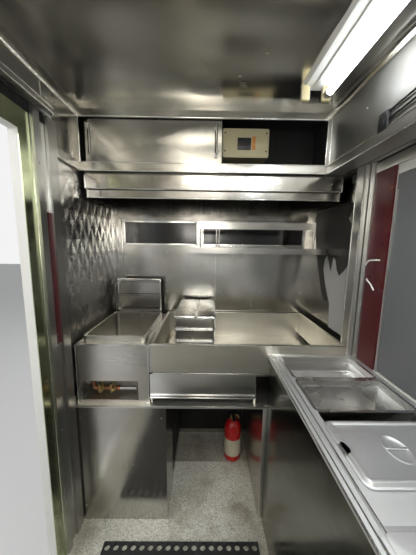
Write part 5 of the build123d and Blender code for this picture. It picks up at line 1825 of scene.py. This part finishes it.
@dataclass
class RightWall:
    """The soffit's edges in painted highlight and painted shade, the torn film and bare patch, the hooks, the
    knob and the hatch's edge bead.
    """

    face: float = ROOM_HALF
    film: Pairs = (
        (0.187, 1.570), (0.236, 1.509), (0.216, 1.479), (0.180, 1.440), (0.164, 1.381), (0.171, 1.336),
        (0.195, 1.302), (0.228, 1.260), (0.274, 1.224), (0.300, 1.255), (0.317, 1.300), (0.340, 1.318),
        (0.350, 1.262), (0.362, 1.238), (0.380, 1.282), (0.405, 1.326), (0.428, 1.300), (0.436, 1.240),
        (0.408, 1.166), (0.380, 1.110), (0.362, 1.078), (0.398, 1.062), (0.440, 1.110), (0.482, 1.203),
        (0.524, 1.303), (0.560, 1.420), (0.575, 1.580))
    patch: Pairs = (
        (0.178, 1.340), (0.172, 1.171), (0.162, 0.979), (0.158, 0.932), (0.330, 0.932), (0.345, 1.064),
        (0.405, 1.166), (0.470, 1.330))
    hooks: tuple[tuple[Point, ...], ...] = (
        ((0.0, 0.000, 1.322), (0.012, 0.010, 1.322), (0.014, 0.045, 1.318), (0.013, 0.060, 1.300)),
        ((0.0, 0.060, 1.240), (0.012, 0.050, 1.240), (0.014, 0.020, 1.226), (0.010, 0.004, 1.202)))
    conduits: Pairs = ((1.788, 1.835), (1.764, 1.780))
    red: float = 0.6375
    hatch_edge: float = 0.6460
    conduit_x: float = 0.5205
    rear: float = -1.4850
    front: float = 0.2330
    lip: float = 0.037
    half_hem: float = 0.0018

    def edges(self) -> None:
        """Lay the soffit's lip in painted highlight, dark strips of painted shade along its grooves and the
        wall's head rail.
        """
        low, _ = corners("soffit_right")
        rear, front, half = self.rear, self.front, self.half_hem
        hems = [((low.x - half, rear, z - half), (low.x + half, front, z + half), 0.0012)
                for z in (low.z, low.z + self.lip)]
        mount(bars("soffit_highlights", hems), "bead", "cart")
        grooves = [((left, rear, low.z - deep), (right, front, low.z + 0.0004), 0.0003)
                   for left, right, deep in ((0.6060, 0.6100, 0.0006), (0.6345, 0.6390, 0.0030))]
        mount(bars("soffit_groove_shade", grooves), "dark", "cart")
        rail = bar("head_rail", (0.6365, rear, low.z - 0.0420),
                   (0.6430, front - 0.002, low.z - 0.0030), 0.0020)
        mount(rail, "aluminium", "cart")

    def sheets(self) -> None:
        """Lay the bare patch and the torn film on the wall."""
        for name, finish, outline, lift in (("bare_patch", "bare_patch", self.patch, 0.0004),
                                            ("torn_film", "film", self.film, 0.0007)):
            points = [(y, FLOOR + z) for y, z in outline]
            mount(plate(name, "X", self.face - lift, points, 0.0003), finish, "cart")

    def small_things(self) -> None:
        """Fix the hooks, the hatch's edge bead, the knob and the conduits with their clamp."""
        hooks = [tube("hook", [(self.red - out, y, FLOOR + z) for out, y, z in route], 0.003, 0.008, 12)
                 for route in self.hooks]
        mount(joined("wall_hooks", hooks), "lamp_white", "cart")
        bead = bar("hatch_bead", (0.6400, -0.0400, FLOOR + 0.881),
                   (self.hatch_edge, -0.0340, FLOOR + 1.578), 0.0015)
        mount(bead, "aluminium", "cart")
        profile = [(TIP, 0.0), (0.009, 0.0), (0.010, -0.004), (0.007, -0.009), (TIP, -0.010)]
        knob = spun("copper_knob", profile, (self.hatch_edge, -0.016, FLOOR + 1.589), "X", 20)
        mount(knob, "copper", "cart")
        parts = [bar("clamp", (0.5155, -0.122, FLOOR + 1.738), (0.5270, -0.080, FLOOR + 1.796), 0.004),
                 bar("boss", (0.5125, -0.110, FLOOR + 1.752), (0.5160, -0.094, FLOOR + 1.770), 0.0015)]
        for rise, reach in self.conduits:
            route = [(0.5215, -0.100, FLOOR + rise), (self.conduit_x, -0.260, FLOOR + rise + 0.012),
                     (self.conduit_x, -0.640, FLOOR + reach), (self.conduit_x, -1.200, FLOOR + reach)]
            parts.append(tube("conduit", route, 0.0032, 0.05, 10))
        mount(joined("soffit_conduit", parts), "black", "cart")

    def build(self) -> None:
        """Build the wall's three groups."""
        self.edges()
        self.sheets()
        self.small_things()


@dataclass
class KitchenScrews:
    """Screw heads on the sheets that face the camera."""

    left: float = -ROOM_HALF
    hood: float = 0.260
    base: float = 0.092
    soffit: float = 0.526

    def build(self) -> None:
        """Place each row of heads on its sheet."""
        rows = {
            "post_screws": ("+X", 0.0048, [(self.left + 0.0030, *spot)
                                           for spot in ((0.052, 1.905), (0.054, 1.868))]),
            "strip_screws": ("+X", 0.004, [(self.left + 0.0120, -0.026, z)
                                           for z in (0.25, 0.60, 0.95, 1.30, 1.65)]),
            "hood_screws": ("-Y", 0.0045, [(x, self.hood, 1.668) for x in (-0.575, 0.560)]),
            "fryer_screws": ("-Y", 0.004, [(x, LINE_FRONT, 0.867) for x in (-0.392, -0.560)]),
            "wall_screws": ("-Y", 0.004, [(x, END_WALL, z) for x in (-0.60, -0.30, 0.06, 0.33, 0.60)
                                          for z in (1.06, 1.32)]),
            "base_screws": ("-Y", 0.004, [(x, self.base, z) for x in (-0.620, -0.240) for z in (0.08, 0.56)]),
            "soffit_screws": ("-X", 0.0045, [(self.soffit, y, 1.86) for y in (-1.2, -0.9, -0.6, -0.3, 0.0)]),
        }
        for name, (face, radius, spots) in rows.items():
            places = [(x, y, FLOOR + z) for x, y, z in spots]
            mount(screw_heads(name, face, places, radius), "aluminium", "cart")


@dataclass
class TreadedWheel:
    """One road wheel: a tyre with a block tread, its nuts, its hub cap and its valve."""

    side: int
    body: str
    axle: Point = (0.560, -0.430, 0.206)
    steps: int = 96
    groove: float = 0.005
    block_steps: int = 4
    shoulder: float = 0.021
    tread_radius: float = 0.200
    studs: int = 5
    stud_circle: float = 0.075
    cap_out: float = 0.0478

    def half_profile(self) -> list[Pair]:
        """Radius and offset points of the tyre's outer half, from the bead to the middle."""
        return [(0.132, 0.048), (0.150, 0.057), (0.176, 0.060), (0.194, 0.054), (0.2045, 0.043),
                (0.206, 0.036), (0.206, 0.020), (0.200, 0.018), (0.200, 0.012), (0.206, 0.010)]

    def tyre(self) -> None:
        """Spin the tyre and press grooves across both shoulders."""
        half = self.half_profile()
        profile = [(radius, -across) for radius, across in half] + half[::-1] + [(half[0][0], -half[0][1])]
        centre = (self.side * self.axle[0], self.axle[1], self.axle[2])
        tyre = spun("treaded_tyre", profile, centre, "X", self.steps)

        def in_groove(face: Face) -> bool:
            """Tell whether a face lies on a shoulder, where a groove crosses it.

            Args:
                face: one of the tyre's faces.

            Returns:
                True where the groove is pressed.
            """
            across = abs(face.center.x - centre[0])
            up, along = face.center.z - centre[2], face.center.y - centre[1]
            turn = int((math.atan2(up, along) / math.tau + 1) * self.steps)
            on_shoulder = across > self.shoulder and math.hypot(up, along) > self.tread_radius
            return on_shoulder and turn % self.block_steps == 0

        pick_faces(tyre, in_groove)
        bpy.ops.mesh.extrude_region_shrink_fatten(TRANSFORM_OT_shrink_fatten={"value": -self.groove})
        edit_mode(False)
        smooth(tyre)
        mount(tyre, "tyre", self.body, ("tyre_left" if self.side < 0 else "tyre_right",))

    def fittings(self) -> None:
        """Put the nuts, the cap and the valve on the rim."""
        parts = []
        x, y, z = self.axle
        for index in range(self.studs):
            turn = math.tau * index / self.studs + math.pi / 2
            spot = (self.side * (x + 0.026), y + self.stud_circle * math.cos(turn),
                    z + self.stud_circle * math.sin(turn))
            end = (spot[0] + self.side * 0.009, *spot[1:])
            parts += [disc("nut", spot, (0.0125, 0.0125), 0.014, 6, TURN_X),
                      disc("stud", end, (0.006, 0.006), 0.010, 12, TURN_X)]
        profile = [(radius, self.side * out) for radius, out in
                   ((0.029, 0.0), (0.029, 0.004), (0.022, 0.009), (TIP, 0.011))]
        parts.append(spun("cap", profile, (self.side * (x + self.cap_out), y, z), "X", 32))
        mount(joined("wheel_nuts", parts), "zinc", self.body)
        ends = [(self.side * (x + out), y + along, z) for out, along in ((0.016, 0.104), (0.040, 0.112))]
        valve = tube("valve", ends, 0.0035, 0.01, 10)
        mount(valve, "black", self.body)

    def build(self) -> None:
        """Build the wheel's pieces."""
        self.tyre()
        self.fittings()


@dataclass
class BodyTrim:
    """Rivets, drip rails, gaskets, the door's sill and the tail lamps' bases on the body."""

    side: float = 0.680
    rear: float = -1.5275
    front: float = 0.6775
    rivet_gap: float = 0.19
    rivet: float = 0.005
    skirt: float = 0.6775
    roof_side: float = 0.6925
    lamp_x: float = 0.570
    lamp_half: float = 0.060
    lens_half: float = 0.050

    def rivets(self) -> None:
        """Run rivets down both faces of each corner trim and along the skirts."""
        heights = [0.57 + self.rivet_gap * step for step in range(11)]
        for name, way, spots in (
                ("rivets_left", "-X", [(-self.side, y, z) for y in (-1.512, 0.662) for z in heights]),
                ("rivets_right", "+X", [(self.side, y, z) for y in (-1.512, 0.662) for z in heights]),
                ("rivets_rear", "-Y", [(x, self.rear, z) for x in (-0.665, 0.665) for z in heights]),
                ("rivets_front", "+Y", [(x, self.front, z) for x in (-0.665, 0.665) for z in heights])):
            mount(screw_heads(name, way, spots, self.rivet), "aluminium", "cart")
        for name, way, x in (("skirt_rivets_left", "-X", -self.skirt),
                             ("skirt_rivets_right", "+X", self.skirt)):
            spots = [(x, -1.40 + 0.22 * step, 0.452) for step in range(9)]
            mount(screw_heads(name, way, spots, self.rivet), "zinc", "cart")

    def rails(self) -> None:
        """Fix the drip rails over the two sides and the sill under the doorway."""
        rails = [((min(x, x + way), -1.535, 2.498), (max(x, x + way), 0.685, 2.512), 0.0015)
                 for x, way in ((self.roof_side, 0.005), (-self.roof_side, -0.005))]
        rails.append(((0.6770, -1.40, 2.222), (0.6960, 0.03, 2.234), 0.002))
        rails.append(((-0.6960, -0.86, 2.276), (-0.6770, -0.04, 2.288), 0.002))
        mount(bars("drip_rails", rails), "aluminium", "cart")
        ribs = [((-0.6800, -0.7995, FLOOR), (-0.6460, -0.0965, FLOOR + 0.0025), 0.0008)]
        ribs += [((x, -0.795, FLOOR + 0.0020), (x + 0.003, -0.101, FLOOR + 0.0035), 0.0006)
                 for x in (-0.676, -0.669, -0.662, -0.655)]
        mount(bars("door_sill", ribs), "aluminium", "cart")

    def gaskets(self) -> None:
        """Seat rubber round the rear window and the door's pane."""
        mount(ring_frame("rear_gasket", "Y", (-0.410, 1.470), (0.410, 2.140), REAR_FACE, 0.024, 0.010, 0.03),
              "gasket", "cart")
        mount(ring_frame("door_gasket", "X", (-1.374, 1.574), (-0.882, 2.186), -0.625, 0.016, 0.0275, 0.02),
              "gasket", "entrance_door")

    def lamps(self) -> None:
        """Seat each tail lamp on a black base and rib its lens."""
        bases, ribs = [], []
        for x in (-self.lamp_x, self.lamp_x):
            bases.append(ring_frame("base", "Y", (x - self.lamp_half, 0.474), (x + self.lamp_half, 0.526),
                                    REAR_FACE, 0.010, 0.006, 0.010))
            ribs.append(((x - 0.0015, -1.5385, 0.481), (x + 0.0015, -1.5365, 0.519), 0.0005))
            ribs += [((x - self.lens_half, -1.5380, z), (x + self.lens_half, -1.5366, z + 0.002), 0.0005)
                     for z in (0.489, 0.499, 0.509)]
        mount(joined("lamp_bases", bases), "gasket", "cart")
        mount(bars("lens_ribs", ribs), "lamp_red", "cart")

    def build(self) -> None:
        """Build all of the body's trim."""
        self.rivets()
        self.rails()
        self.gaskets()
        self.lamps()


@dataclass
class HatchFittings:
    """The serving hatch's edge frame and its two turn latches."""

    face: float = 0.6775
    latches: tuple[float, ...] = (-1.18, -0.18)
    latch_z: float = 1.468

    def build(self) -> None:
        """Frame the leaf and put on the latches."""
        frame = ring_frame("hatch_frame", "X", (-1.332, 1.419), (-0.033, 2.116), self.face + 0.0008,
                           0.024, 0.0030, 0.012)
        mount(frame, "aluminium", "hatch")
        parts = []
        for y in self.latches:
            for name, out, radius, thick, sides in (("rose", 0.004, 0.021, 0.007, 28),
                                                    ("stem", 0.013, 0.008, 0.014, 16)):
                place = (self.face + out, y, self.latch_z)
                parts.append(disc(name, place, (radius, radius), thick, sides, TURN_X))
            parts.append(bar("turn", (self.face + 0.018, y - 0.032, self.latch_z - 0.006),
                             (self.face + 0.026, y + 0.032, self.latch_z + 0.006), 0.003))
        mount(joined("hatch_latches", parts), "zinc", "hatch")


@dataclass
class DoorFittings:
    """The sliding door's flush pull outside, its handle inside and its kick plate."""

    outer: float = -0.6380
    inner: float = -0.6125
    pull_y: float = -0.828
    pull_low: float = 1.330
    pull_high: float = 1.470
    stand: float = 0.026

    def build(self) -> None:
        """Fit the door's hardware."""
        y, low, high, inner = self.pull_y, self.pull_low, self.pull_high, self.inner
        cup = ring_frame("cup", "X", (y - 0.020, low), (y + 0.020, high), self.outer + 0.0002,
                         0.007, 0.0034, 0.012)
        well = bar("well", (self.outer - 0.0006, y - 0.014, low + 0.006),
                   (self.outer + 0.001, y + 0.014, high - 0.006), 0.0003, 1)
        grip = tube("grip", [(inner, y, low), (inner + self.stand, y, low + 0.006),
                             (inner + self.stand, y, high - 0.006), (inner, y, high)], 0.005, 0.010, 14)
        kick = bar("kick", (inner, -1.480, 0.545), (inner + 0.0008, -0.776, 0.720), 0.0003, 1)
        mount(joined("door_hardware", [cup, grip, kick]), "aluminium", "entrance_door")
        mount(well, "black", "entrance_door")


@dataclass
class LockerFittings:
    """The gas locker's toggle latch and its side louvres."""

    node: str = "gas_locker"
    louvre_side: float = 0.2905
    louvre_foot: float = 0.520
    louvre_pitch: float = 0.024
    louvre_deep: float = 0.004

    def build(self) -> None:
        """Fit the latch with its bails, and the louvres."""
        face = corners(self.node)[1].y
        latch = [bar("base", (-0.018, face - 0.0005, 0.915), (0.018, face + 0.0030, 0.985), 0.001),
                 bar("lever", (-0.012, face + 0.0030, 0.925), (0.012, face + 0.0065, 0.975), 0.0015)]
        latch += [tube("bail", [(x, face + 0.005, 0.972), (x, face + 0.0055, 1.008)], 0.0018, 0.01, 8)
                  for x in (-0.010, 0.010)]
        mount(joined("locker_latch", latch), "zinc", "cart")
        louvres = []
        for side in (-1, 1):
            left, right = sorted((side * self.louvre_side, side * (self.louvre_side + self.louvre_deep)))
            for step in range(5):
                z = self.louvre_foot + step * self.louvre_pitch
                louvres.append(((left, 0.800, z), (right, 0.960, z + 0.009), 0.0018))
        mount(bars("locker_louvres", louvres), "locker", "cart")


def main() -> None:
    """Load the frame and build the looks in order."""
    logging.basicConfig(level=logging.INFO, format="%(message)s")
    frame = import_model()
    Studio().build()
    dress_nodes(frame)
    for part in (QuiltedWall(), CeilingSheet(), PiercedMat(), CounterPans(), StackedPans(), PressedLid(),
                 PotStation(), Extinguisher(), GasCocks(), CeilingLamp(), CabinetFittings(), FoldedEdges(),
                 SplashFields(), DrawerFront(), KneeholeShade(), TrackShadow(), RightWall(), KitchenScrews(),
                 TreadedWheel(-1, "wheel_left"), TreadedWheel(1, "wheel_right"), BodyTrim(),
                 HatchFittings(), DoorFittings(), LockerFittings()):
        part.build()


if __name__ == "__main__":
    main()
